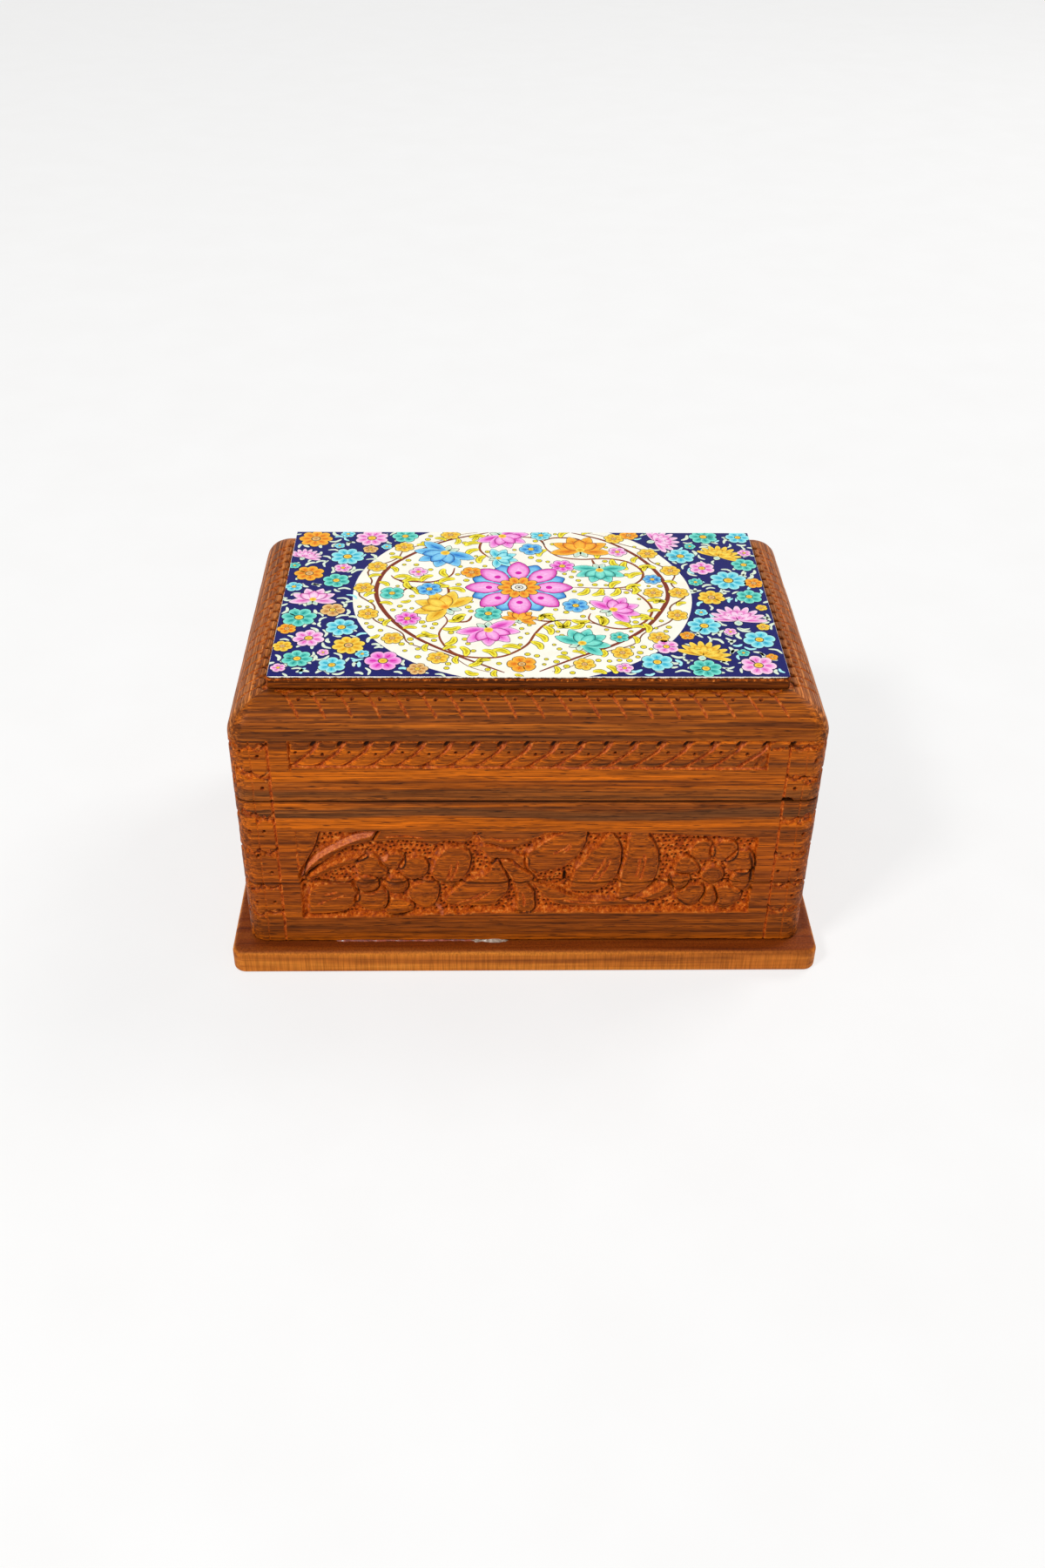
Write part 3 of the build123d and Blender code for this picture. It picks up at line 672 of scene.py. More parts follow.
def border_strip(relief, reach):
    """Slanting leaves along a wall of the lid, each with a dot, over a fine orange line."""
    low_left, low_right, pitch = 66.2, 65.4, 6.65
    slant_z = np.array([66, 67.8, 69.8, 72, 74.2])
    slant_x = np.array([-7.3, -5, -2.6, -0.8, 0])
    first = -reach + 7.4
    x, z = relief.q[:, 0], relief.q[:, 1]
    bottom = low_left + (low_right - low_left) * (x + reach) / (2 * reach)
    phase = np.mod((x - np.interp(z, slant_z, slant_x) - first) / pitch, 1)
    in_strip = (np.abs(x) < reach) & (z > bottom)
    relief.depth += np.where(in_strip, 0.15 + 0.55 * np.abs(2 * phase - 1) ** 2.5, 0)
    count = int((2 * reach) / pitch) + 1
    for k in range(count):
        top = first + k * pitch
        line = np.stack([top + slant_x, slant_z], 1)[::-1]
        line = line[(line[:, 0] > -reach) & (line[:, 0] < reach)]
        if len(line) > 1:
            # Cut marks over 1 here are painted highlights, and the dark pits and grooves are painted
            # shade.
            relief.groove(line, 1.05, 0.7, cut=1.15, taper=False)
            relief.groove(line[:3] + (0.35, 0), 1.0, 0.4, cut=1.3)
        relief.pit(top - 1.2, 72.9, 0.95, 1.25, 1.0, 1.0, lean=0.55)
        relief.groove([(top - 0.6, 72.6), (top + 0.9, 73.9), (top + 3.0, 74.1), (top + 4.7, 73.4)],
                      0.8, 0.4, cut=0.9, dark=0.3)
    relief.punch([(first + k * pitch - 5.7, 70.1 + 0.25 * (-1) ** k) for k in range(count)
                  if first + k * pitch - 5.7 < reach], 0.52, 0.8)
    relief.groove([(-reach, low_left), (0, (low_left + low_right) / 2), (reach, low_right)],
                  0.9, 0.5, cut=1.15, taper=False)
    for end in (-reach, reach):
        relief.groove([(end, low_right - 0.3), (end, 70), (end, 75)], 0.8, 0.6, taper=False, dark=0.25)


def lid_carving(half, front=False):
    """A wall of the lid: the slanting border and the corner bands, and two odd chips in front."""
    def carve(relief):
        border_strip(relief, half - 15.6)
        carve_corners(relief, half, (63.6, 71.8), (61.9, 71.5),
                      [(-(half - 3), 70.6), (-(half - 7.7), 69.3), (-(half - 8.2), 59.5),
                       (-(half - 2), 61), (half - 3, 67.8), (half - 7.6, 59.2)])
        if front:
            # The chips in front, the one at the seam among them, are painted dark as shade.
            relief.groove([(57.0, 65.8), (57.9, 67.4), (59.2, 69.2)], 2.1, 0.8, cut=0.6, dark=0.6)
            relief.pit(66.5, lid_low[2] + 0.3, 1.7, 0.8, 1.0, 1.0)
            relief.chips(61, 64, 71.5, 90, 0.5)
    return carve


# ---------- rails: quarter round, notched along the ridge ----------

def notch_rail(relief, count, pitch, slant):
    """Round-topped leaves under the ridge, each with a dot and a slanting cut, and a dark chip
    between two."""
    top = relief.z[-1]
    x, z = relief.q[:, 0], relief.q[:, 1]
    arch = top - 2.5 + 1.75 * np.abs(np.sin(np.pi * x / pitch)) ** 0.7
    arch += 0.12 * noise(relief.q, (1.3, 1.3), 61)
    notched = np.abs(x) < (count + 0.4) * pitch
    above = (z > arch) & notched
    relief.depth += np.where(above, 0.25 + 0.3 * np.clip((z - arch) / 0.9, 0, 1), 0)
    # Above the arches the cut mark reaches a painted highlight; along their edge runs a painted shade
    # line.
    relief.cut = np.where(above, 0.95 + 0.5 * noise(relief.q, (0.8, 0.5), 62), relief.cut)
    edge = smooth(1 - np.abs(z - arch) / 0.4) * notched
    relief.depth += 0.2 * edge
    relief.dark = np.maximum(relief.dark, 0.85 * edge)
    for k in range(-count, count + 1):
        at = k * pitch
        jig = 0.25 * math.sin(7.3 * k + relief.seed)
        cut = [(at + jig, top - 2.2), (at + 0.5 * slant, top - 5.2), (at + slant + jig, top - 8.9)]
        relief.groove(cut, 0.8, 0.6, cut=1.2, dark=0.15)
        # The chip between two leaves is painted dark as shade.
        relief.pit(at, top - 2.1, 0.75, 0.8, 0.9, 1.0)
        if k < count:
            relief.punch([(at + 0.5 * pitch + jig, top - 3.7 - 0.4 * jig)], 0.6, 0.8)


def rail_piece(side, pitch, slant, material, seed):
    """One rail: a carved quarter round that follows the rounded corners, and a flat back."""
    name = "rail_notched_" + side
    half = sides[side][2]
    q = np.linspace(0, math.pi / 2, int(rail_arc / rail_step))
    inset = rail_margin * (1 - np.cos(q))
    rise = rail_rise * np.sin(q)
    run = np.concatenate([[0], np.cumsum(np.hypot(np.diff(inset), np.diff(rise)))])
    columns = int(2 * half / rail_step)
    fraction = np.linspace(-1, 1, columns)
    s = fraction * half
    relief = Relief(s, run, seed)
    notch_rail(relief, int((half - rail_plain_end) / pitch), pitch, slant)
    rows = [plan(side, fraction, i, corner_radius - 0.4 * i) for i in inset]
    for values in (relief.depth, relief.cut, relief.dark):
        grid = values.reshape(columns, len(q))
        for j, (real, _, _) in enumerate(rows):
            grid[:, j] = np.interp(real, s, grid[:, j].copy())
    depth = relief.depth.reshape(columns, len(q))
    outer = np.zeros((columns, len(q), 3))
    for j, (_, place, facing) in enumerate(rows):
        slope = np.array([math.cos(q[j]) / rail_margin, math.sin(q[j]) / rail_rise])
        slope /= np.hypot(*slope)
        outer[:, j, :2] = place - facing * (slope[0] * depth[:, j])[:, None]
        outer[:, j, 2] = rail_low[2] + rise[j] - slope[1] * depth[:, j]
    outer[:, 0, 2] = rail_low[2]
    inner = np.zeros((columns, 2, 3))
    inner[..., :2] = back_line(side, fraction, rail_depth)[:, None]
    inner[..., 2] = (rail_low[2], rail_high[2])
    mesh = closed_sheet(name, outer, inner, relief)
    make_piece(name, mesh, material, "lid", ["lid_rail_" + side])


# ---------- materials ----------

def linear(rgb):
    """A colour of 0 to 255 as a node wants it. One of four values is left as it is."""
    if len(rgb) == 4:
        return rgb
    c = np.asarray(rgb, float) / 255
    c = np.where(c <= 0.04045, c / 12.92, ((c + 0.055) / 1.055) ** 2.4)
    return (*c, 1.0)


class Graph:
    """A material's nodes, with short ways to add them."""

    def __init__(self, name):
        self.material = bpy.data.materials.new(name)
        self.material.use_nodes = True
        self.tree = self.material.node_tree
        self.tree.nodes.clear()
        self.output = self.add("ShaderNodeOutputMaterial")
        self.shader = self.add("ShaderNodeBsdfPrincipled")
        self.join(self.shader.outputs["BSDF"], self.output.inputs["Surface"])

    def add(self, kind):
        return self.tree.nodes.new(kind)

    def join(self, source, target):
        self.tree.links.new(source, target)

    def set(self, target, value):
        if isinstance(value, bpy.types.NodeSocket):
            self.join(value, target)
        else:
            target.default_value = linear(value) if isinstance(value, tuple) else value

    def place(self, scale, offset):
        mapping = self.add("ShaderNodeMapping")
        mapping.inputs["Scale"].default_value = scale if isinstance(scale, tuple) else (scale,) * 3
        mapping.inputs["Location"].default_value = offset
        self.join(self.add("ShaderNodeTexCoord").outputs["Object"], mapping.inputs["Vector"])
        return mapping.outputs["Vector"]

    def noise(self, scale, detail=3.0, rough=0.55, distort=0.0, offset=(0, 0, 0)):
        node = self.add("ShaderNodeTexNoise")
        self.join(self.place(scale, offset), node.inputs["Vector"])
        node.inputs["Scale"].default_value = 1.0
        node.inputs["Detail"].default_value = detail
        node.inputs["Roughness"].default_value = rough
        node.inputs["Distortion"].default_value = distort
        return node.outputs["Fac"]

    def along(self, axis, kind="ShaderNodeTexCoord", output="Object"):
        """A place on the piece, or another arrow, along one axis."""
        split = self.add("ShaderNodeSeparateXYZ")
        self.join(self.add(kind).outputs[output], split.inputs[0])
        return split.outputs[axis]

    def ramp(self, value, stops):
        node = self.add("ShaderNodeValToRGB")
        self.join(value, node.inputs["Fac"])
        elements = node.color_ramp.elements
        while len(elements) < len(stops):
            elements.new(0.5)
        for element, (at, colour) in zip(elements, stops):
            element.position = at
            element.color = linear(colour)
        return node.outputs["Color"]

    def level(self, value, low, high, to_low=0.0, to_high=1.0):
        node = self.add("ShaderNodeMapRange")
        self.join(value, node.inputs["Value"])
        node.inputs["From Min"].default_value = low
        node.inputs["From Max"].default_value = high
        node.inputs["To Min"].default_value = to_low
        node.inputs["To Max"].default_value = to_high
        return node.outputs["Result"]

    def mix(self, factor, a, b, blend="MIX"):
        node = self.add("ShaderNodeMix")
        node.data_type = "RGBA"
        node.blend_type = blend
        self.set(node.inputs["Factor"], factor)
        self.set(node.inputs["A"], a)
        self.set(node.inputs["B"], b)
        return node.outputs["Result"]

    def shade(self, factor, colour, value, stops):
        """Darkens and lightens a colour by a ramp over a value."""
        return self.mix(factor, colour, self.ramp(value, stops), "MULTIPLY")

    def math(self, operation, a, b):
        node = self.add("ShaderNodeMath")
        node.operation = operation
        self.set(node.inputs[0], a)
        self.set(node.inputs[1], b)
        return node.outputs["Value"]

    def attribute(self, name, output="Fac"):
        node = self.add("ShaderNodeAttribute")
        node.attribute_name = name
        return node.outputs[output]

    def bump(self, height, strength, distance):
        node = self.add("ShaderNodeBump")
        node.inputs["Strength"].default_value = strength
        node.inputs["Distance"].default_value = distance
        self.join(height, node.inputs["Height"])
        self.join(node.outputs["Normal"], self.shader.inputs["Normal"])

    def finish(self, colour, roughness, metallic=0.0, specular=0.5):
        self.set(self.shader.inputs["Base Color"], colour)
        self.set(self.shader.inputs["Roughness"], roughness)
        self.shader.inputs["Metallic"].default_value = metallic
        self.shader.inputs["Specular IOR Level"].default_value = specular
        return self.material


def along_grain(axis, long, across):
    """Noise that is long along one axis and fine across it, in repeats per metre."""
    scale = [across, across, across]
    scale["XYZ".index(axis)] = long
    return tuple(scale)


def wood(name, axis, tones, cut=True, seed=0.0, bands=(), ragged=0.0):
    """Streaked wood with pores, broad bands of another tone, and the marks of the carving: fresh cut
    colour, painted highlights and painted shade.
    """
    dark, mid, bright = tones
    g = Graph(name)
    shift = (seed, seed * 1.7, seed * 0.6)
    half_dark = [0.5 * a + 0.5 * b for a, b in zip(dark, mid)]
    streaks = g.noise(along_grain(axis, 9, 880), 5, 0.6, 0.25, shift)
    colour = g.ramp(streaks, [(0.34, dark), (0.44, half_dark), (0.5, mid), (0.59, bright), (0.7, mid)])
    broad = g.noise(along_grain(axis, 6, 230), 3, 0.55, 0.3, (seed + 3, 0, seed))
    colour = g.mix(g.level(broad, 0.5, 0.62, 0.0, 0.35), colour, (96, 56, 30))
    height_at = g.along("Z")
    sway = g.noise(along_grain(axis, 14, 60), 3, 0.5, 0.0, (seed, 9, 4))
    z = g.math("ADD", height_at, g.level(sway, 0.2, 0.8, -0.002, 0.002))
    for centre, half, tone, strength in bands:
        far = g.math("ABSOLUTE", g.math("SUBTRACT", z, centre * MM), 0.0)
        colour = g.mix(g.level(far, half * MM, 0.45 * half * MM, 0.0, strength), colour, tone)
    fine = g.noise(along_grain(axis, 22, 1900), 3, 0.7, 0.0, shift)
    colour = g.shade(0.9, colour, fine, [(0.34, (0.5, 0.46, 0.42, 1)), (0.5, (0.98, 0.96, 0.94, 1)),
                                         (0.64, (1.32, 1.26, 1.1, 1))])
    fibres = g.noise(along_grain(axis, 90, 2900), 2, 0.7, 0.0, shift)
    colour = g.shade(0.85, colour, fibres, [(0.34, (0.5, 0.44, 0.4, 1)), (0.6, (1.22, 1.18, 1.1, 1))])
    pores = g.noise(along_grain(axis, 240, 3600), 1, 0.5, 0.0, (seed, 1, 2))
    pore = g.level(pores, 0.62, 0.7)
    colour = g.mix(g.math("MULTIPLY", pore, 0.75), colour, (36, 14, 4))
    roughness = g.level(fibres, 0.3, 0.7, 0.6, 0.4)
    height = g.math("SUBTRACT", fibres, pore)
    patch = g.noise(900, 4, 0.7)
    fresh = g.ramp(patch, [(0.3, (104, 34, 2)), (0.45, (168, 66, 4)), (0.56, (214, 100, 12)),
                           (0.7, (244, 156, 72))])
    if cut:
        cut_mask = g.attribute("cut")
        fresh_mask = g.level(cut_mask, 0.0, 1.0)
        colour = g.mix(g.math("MULTIPLY", fresh_mask, 0.82), colour, fresh)
        # Where the cut mark goes over 1 it turns to a pale pink painted highlight, streaked by the
        # fibres.
        shine = g.math("MULTIPLY", g.level(cut_mask, 1.0, 1.9), g.level(fibres, 0.35, 0.6, 0.15, 0.8))
        colour = g.mix(shine, colour, (226, 142, 108))
        # The dark mark is painted shade in hollows, chips and seams.
        painted_shade_mask = g.attribute("dark")
        colour = g.mix(g.math("MULTIPLY", painted_shade_mask, 0.95), colour, (20, 6, 1))
        roughness = g.mix(fresh_mask, roughness, (0.5, 0.5, 0.5, 1))
        height = g.math("ADD", height, g.math("MULTIPLY", fresh_mask, g.math("MULTIPLY", patch, 4.0)))
    if ragged:
        edge = g.math("ADD", height_at, g.level(patch, 0.3, 0.7, -0.0006, 0.0006))
        bare = g.level(edge, (ragged - 0.35) * MM, (ragged - 0.1) * MM, 0.0, 0.85)
        colour = g.mix(bare, colour, fresh)
    g.bump(height, 0.5, 0.00014)
    return g.finish(colour, roughness, specular=0.1)


wall_tones = ((100, 47, 9), (160, 80, 12), (202, 104, 12))
rail_tones_x = ((90, 44, 12), (138, 70, 16), (182, 98, 20))
# The rails along Y get a paler copy of the rail tones: painted light, for the light on the box's ends.
lit_rail_tones_y = ((116, 60, 24), (172, 98, 42), (212, 134, 68))
board_tones = ((62, 27, 5), (106, 50, 9), (148, 74, 14))

# Bands of another tone along a wall: height and half height in millimetres, tone and strength.
base_bands = [
    (51.4, 1.9, (100, 62, 32), 0.75), (48.4, 1.9, (208, 106, 6), 0.7), (12.5, 5, (108, 52, 12), 0.5),
    (31.5, 15.5, (154, 72, 10), 0.5),
]
lid_bands = [
    (64.2, 2.2, (200, 104, 10), 0.55), (57.3, 2.4, (120, 72, 32), 0.6), (70, 1.6, (196, 100, 10), 0.4),
]

front_wood = wood("carved_wood_along_x", "X", wall_tones, bands=base_bands)
side_wood = wood("carved_wood_along_y", "Y", wall_tones, seed=4.0)
lid_wood_x = wood("lid_wood_along_x", "X", wall_tones, seed=7.0, bands=lid_bands)
lid_wood_y = wood("lid_wood_along_y", "Y", wall_tones, seed=9.0)
rail_wood_x = wood("rail_wood_along_x", "X", rail_tones_x, seed=2.0)
# A paler copy of the rail wood, painted light on the rails along Y.
lit_rail_wood_y = wood("rail_wood_along_y", "Y", lit_rail_tones_y, seed=5.0)
board_wood = wood("board_wood", "X", board_tones, cut=False, seed=12.0, ragged=board_high[2])
plain_wood = wood("plain_back_wood", "X", wall_tones, cut=False, seed=14.0)


def plinth_material():
    """Paler sawn wood, darker where it faces up, partly as a stain and partly as painted shade."""
    g = Graph("sawn_plinth_wood")
    streaks = g.noise(along_grain("X", 12, 420), 4, 0.65, 0.4, (5, 2, 1))
    colour = g.ramp(streaks, [(0.28, (132, 66, 18)), (0.45, (190, 106, 32)), (0.6, (212, 128, 42)),
                              (0.75, (226, 152, 66))])
    facing_up = g.along("Z", "ShaderNodeNewGeometry", "Normal")
    # Stain and painted shade on the faces that look up.
    stain_and_shade = g.mix(1.0, colour, (0.4, 0.27, 0.24, 1), "MULTIPLY")
    colour = g.mix(g.level(facing_up, 0.6, 0.9), colour, stain_and_shade)
    saw = g.noise((2600, 2600, 90), 2, 0.6, 0.2, (1, 0, 0))
    colour = g.shade(0.55, colour, saw, [(0.35, (0.5, 0.45, 0.4, 1)), (0.6, (1.15, 1.12, 1.1, 1))])
    g.bump(saw, 0.5, 0.0002)
    return g.finish(colour, g.level(saw, 0.3, 0.7, 0.65, 0.45), specular=0.12)


def metal(name, colour, tarnish, roughness):
    """Brushed metal with tarnished patches."""
    g = Graph(name)
    patch = g.noise(500, 4, 0.6)
    fine = g.noise((200, 4000, 4000), 2, 0.6)
    tone = g.mix(g.level(patch, 0.42, 0.62), colour, tarnish)
    g.bump(fine, 0.2, 0.00005)
    return g.finish(tone, g.level(patch, 0.3, 0.7, roughness, roughness + 0.2), 1.0)


brass = metal("aged_brass", (196, 152, 78), (120, 84, 40), 0.28)
steel = metal("dull_steel", (170, 168, 164), (92, 84, 76), 0.35)
plinth_wood = plinth_material()


def dress(nodes, material):
    """Gives CAD nodes whose shape is right their material."""
    for name in nodes:
        piece = frame["nodes"][name]
        piece.data.materials.clear()
        piece.data.materials.append(material)


# ---------- walls and rails ----------

# Each wall's name, the CAD node it replaces, its body, its side and heights, the step of its grid,
# what is carved on it and its wood.
front_step, base_end_step, lid_end_step = 0.21, 0.23, 0.22
joint_gap = 0.02
lid_z = (lid_low[2], lid_high[2])
walls = [
    ("carved_front_upper", "base_front_wall_upper", "base", "front", seam_height, base_high, front_step,
     front_base, front_wood),
    ("carved_front_lower", "base_front_wall_lower", "base", "front", base_low, seam_height - joint_gap,
     front_step, front_base, front_wood),
    ("carved_left_wall", "base_left_wall", "base", "left", base_low, base_high, base_end_step,
     side_base(1), side_wood),
    ("carved_right_wall", "base_right_wall", "base", "right", base_low, base_high, base_end_step,
     side_base(-1), side_wood),
    ("lid_carved_front", "lid_front_wall", "lid", "front", *lid_z, front_step,
     lid_carving(half_length, True), lid_wood_x),
    ("lid_carved_left", "lid_left_wall", "lid", "left", *lid_z, lid_end_step,
     lid_carving(half_width), lid_wood_y),
    ("lid_carved_right", "lid_right_wall", "lid", "right", *lid_z, lid_end_step,
     lid_carving(half_width), lid_wood_y),
]
for seed, row in enumerate(walls, 21):
    wall_piece(*row, seed)

# Each rail's side, the distance between its notches, how far they slant and its wood.
rails = [
    ("front", 6.75, 3.6, rail_wood_x),
    ("back", 6.75, 3.2, rail_wood_x),
    # The rails along Y take the paler, painted-light rail wood.
    ("left", 4.7, 2.2, lit_rail_wood_y),
    ("right", 4.6, 0.5, lit_rail_wood_y),
]
for seed, row in enumerate(rails, 31):
    rail_piece(*row, seed)

dress(["base_back_wall", "lid_back_wall"], plain_wood)
dress(["lid_centre_board"], board_wood)
dress(["plinth_board"], plinth_wood)
dress([n for n in frame["nodes"] if "leaf" in n and "hinge" in n], brass)
dress([n for n in frame["nodes"] if "pin" in n or "nails" in n or "screws" in n], steel)


# ---------- dried glue at the foot of the front wall ----------

def glue_material():
    """Brownish glue that turns white at its right end."""
    g = Graph("dried_glue")
    blobs = g.noise(1300, 3, 0.6)
    clear = g.ramp(blobs, [(0.35, (96, 24, 4)), (0.65, (160, 60, 16))])
    white = g.ramp(blobs, [(0.35, (116, 92, 74)), (0.65, (176, 158, 142))])
    colour = g.mix(g.level(g.along("X"), -0.0152, -0.0140), clear, white)
    g.bump(blobs, 0.5, 0.0001)
    return g.finish(colour, g.level(blobs, 0.3, 0.7, 0.25, 0.45))


def add_glue():
    """A low, uneven bead in the corner between the wall and the plinth."""
    x = np.linspace(-52, -4.7, 190)
    line = np.stack([x, 0 * x], 1)
    thick_from, thick, thin = -14.2, 0.85, 0.36
    size = np.where(x > thick_from, thick, thin) * (1 + 0.45 * noise(line, (1.5, 1), 51))
    size = size * smooth(np.minimum(x - x[0], x[-1] - x) / 1.0) + 0.04
    face = -half_width + 0.5
    profile = np.array([(0.5, -0.1), (0.5, 1.0), (-0.1, 0.95), (-0.4, 0.6), (-0.75, 0.3), (-1.0, 0.05),
                        (-1.0, -0.1)])
    points = []
    for along, s in zip(x, size):
        for y, z in profile:
            points.append((along, face + (y * s if y < 0 else y), base_low + (z * s if z > 0 else z)))
    n = len(profile)
    faces = [list(range(n)), list(range(len(points) - n, len(points)))[::-1]]
    for k in range(len(x) - 1):
        for m in range(n):
            a, b = k * n + m, k * n + (m + 1) % n
            faces.append([a, a + n, b + n, b])
    mesh = bpy.data.meshes.new("glue_bead")
    mesh.from_pydata((np.array(points) * MM).tolist(), [], faces)
    bm = bmesh.new()
    bm.from_mesh(mesh)
    bmesh.ops.recalc_face_normals(bm, faces=bm.faces)
    bm.to_mesh(mesh)
    bm.free()
    make_piece("glue_bead", mesh, glue_material(), "base", [])


add_glue()


# ---------- the plaque: thin layers of paint on a white sheet ----------

# The paint's levels are counted in layers above the sheet, and end under the CAD plaque's top.
sheet_top = plaque_high[2] - 0.075
paint_layer = 0.01
paint_reach = np.array([plaque_high[0] - 0.15, plaque_high[1] - 0.15])
shortest_veined = 1.6

tints = {
    "magenta": ((214, 8, 168), (255, 190, 238)),
    "cyan": ((20, 168, 200), (176, 242, 244)),
    "blue": ((6, 108, 196), (140, 212, 246)),
    "teal": ((0, 146, 138), (140, 234, 216)),
    "orange": ((222, 108, 0), (255, 190, 60)),
    "gold": ((222, 150, 0), (255, 222, 90)),
    "pink": ((226, 84, 184), (255, 222, 242)),
    "tan": ((184, 116, 40), (246, 206, 140)),
    "yellow": ((206, 182, 0), (250, 236, 66)),
    "cream": ((170, 214, 200), (226, 240, 216)),
}
ink = (24, 14, 18)
leaf_ink = (58, 46, 8)
navy = (4, 8, 96)
ring_brown = (124, 44, 12)
vine_brown = (138, 62, 14)
tendril_brown = (120, 62, 14)
eye_white = ((250, 246, 230), (236, 230, 210))
eye_grey = ((246, 240, 222), (200, 190, 170))


def polar(x, y, reach, angle):
    return x + reach * math.cos(angle), y + reach * math.sin(angle)


def fan(turn, spread, count):
    """Numbered directions, spread evenly to both sides of one."""
    return [(k, turn + spread * (2 * k / (count - 1) - 1)) for k in range(count)]


class Paint:
    """Closed slabs of paint, gathered into one mesh with a colour at each point."""

    def __init__(self):
        self.points = []
        self.faces = []
        self.colours = []

    def slab(self, ring, level, colour, heart=None, middle=None, inner=0.6, blend=0.35):
        """One flat shape. With a heart, its colour runs into another one at its middle."""
        ring = np.clip(np.asarray(ring, float), -paint_reach, paint_reach)
        following = np.roll(ring, -1, 0)
        if (ring[:, 0] * following[:, 1] - following[:, 0] * ring[:, 1]).sum() < 0:
            ring = ring[::-1]
        n = len(ring)
        start = len(self.points)
        top = sheet_top + level * paint_layer
        self.points += [(x, y, sheet_top - 0.02) for x, y in ring]
        self.points += [(x, y, top) for x, y in ring]
        self.colours += [linear(colour)] * (2 * n)
        self.faces.append([start + k for k in range(n)][::-1])
        upper = start + n
        for k in range(n):
            m = (k + 1) % n
            self.faces.append([start + k, start + m, upper + m, upper + k])
        if heart is None:
            self.faces.append([upper + k for k in range(n)])
            return
        middle = ring.mean(0) if middle is None else np.asarray(middle, float)
        inner_ring = middle + (ring - middle) * inner
        between = [(1 - blend) * a + blend * b for a, b in zip(colour, heart)]
        self.points += [(x, y, top) for x, y in inner_ring] + [(*middle, top)]
        self.colours += [linear(between)] * n + [linear(heart)]
        low = upper + n
        for k in range(n):
            m = (k + 1) % n
            self.faces.append([upper + k, upper + m, low + m, low + k])
            self.faces.append([low + k, low + m, low + n])

    def stroke(self, line, width, level, colour, steps=4):
        """A brush line that swells in the middle and tapers at both ends."""
        line = rounded(line, False, steps)
        slope = np.gradient(line, axis=0)
        slope /= lengths(slope)[:, None] + 1e-9
        side = np.stack([-slope[:, 1], slope[:, 0]], 1)
        t = np.linspace(0, 1, len(line))
        half = 0.5 * width * (0.25 + 0.75 * np.sin(np.pi * t) ** 0.6)
        self.slab(np.concatenate([line + side * half[:, None], (line - side * half[:, None])[::-1]]),
                  level, colour)

    def disc(self, x, y, radius, level, colour, heart=None, count=14):
        self.slab(oval(x, y, radius, radius, 0, count), level, colour, heart)

    def petal(self, x, y, turn, length, width, tint, level, pointed=False, line=0.2, flip=False):
        """One petal with an ink edge, a pale rim and a deep base, or the other way round."""
        deep, pale = tints[tint]
        if flip:
            deep, pale = pale, deep
        t = np.linspace(0, 2 * np.pi, 16, endpoint=False)
        u = 0.5 * length * (1 - np.cos(t))
        full = np.abs(np.sin(t)) ** 1.5 if pointed else np.abs(np.sin(t)) * np.abs(np.sin(t / 2)) ** 0.7
        v = 0.5 * width * np.sign(np.sin(t)) * full
        c, s = math.cos(turn), math.sin(turn)
        ring = np.stack([x + u * c - v * s, y + u * s + v * c], 1)
        middle = ring.mean(0)
        away = ring - middle
        away /= lengths(away)[:, None] + 1e-9
        self.slab(ring + away * line, level, ink)
        base = polar(x, y, 0.36 * length, turn)
        inner, blend = (0.7, 0.85) if flip else (0.6, 0.35)
        self.slab(ring, level + 0.8, pale, deep, base, inner, blend)
        if length > shortest_veined:
            vein = oval(*polar(x, y, 0.51 * length, turn), 0.2 * length, 0.05 * width, turn, 8)
            self.slab(vein, level + 1.4, deep)

    def round_flower(self, x, y, radius, tint, count, turn, heart):
        """Even petals round a disc."""
        level = 2.4
        width = 1.95 * radius * math.sin(math.pi / count)
        for k in range(count):
            a = turn + 2 * math.pi * k / count
            self.petal(*polar(x, y, 0.12 * radius, a), a, 0.92 * radius, width, tint,
                       level + 0.1 * (k % 2), line=0.18)
        self.disc(x, y, 0.3 * radius, level + 1.6, ink)
        self.disc(x, y, 0.24 * radius, level + 2.0, *tints[heart][::-1])

    def lotus(self, x, y, radius, tint, turn, heart):
        """Pointed petals in two rows that open to one side."""
        level = 2.2
        root = polar(x, y, -0.35 * radius, turn)
        for row, (spread, count, reach) in enumerate(((1.75, 6, 1.35), (0.8, 3, 1.0))):
            for k, a in fan(turn, spread, count):
                self.petal(*root, a, reach * radius, (0.62 - 0.06 * row) * radius, tint,
                           level + row * 1.0 + 0.1 * (k % 2), True, 0.17, flip=row == 1)
        for a in (turn + 2.7, turn - 2.7):
            self.petal(*polar(x, y, -0.4 * radius, turn), a, 0.6 * radius, 0.3 * radius, "cream",
                       level - 0.2, True)
        self.disc(*polar(x, y, -0.3 * radius, turn), 0.2 * radius, level + 2.6, *tints[heart][::-1])

    def carnation(self, x, y, radius, tint, turn):
        """A fan of frilled petals over a green cup."""
        level = 2.2
        foot = polar(x, y, -0.55 * radius, turn)
        for row, (count, spread, reach) in enumerate(((9, 1.5, 1.5), (6, 1.1, 1.05), (4, 0.7, 0.65))):
            for k, a in fan(turn, spread, count):
                self.petal(*foot, a, reach * radius, 0.46 * radius, tint,
                           level + 0.75 * row + 0.1 * (k % 2), line=0.15, flip=row == 1)
        self.petal(*foot, turn + math.pi, 0.5 * radius, 0.42 * radius, "cream", level + 1.5, True)


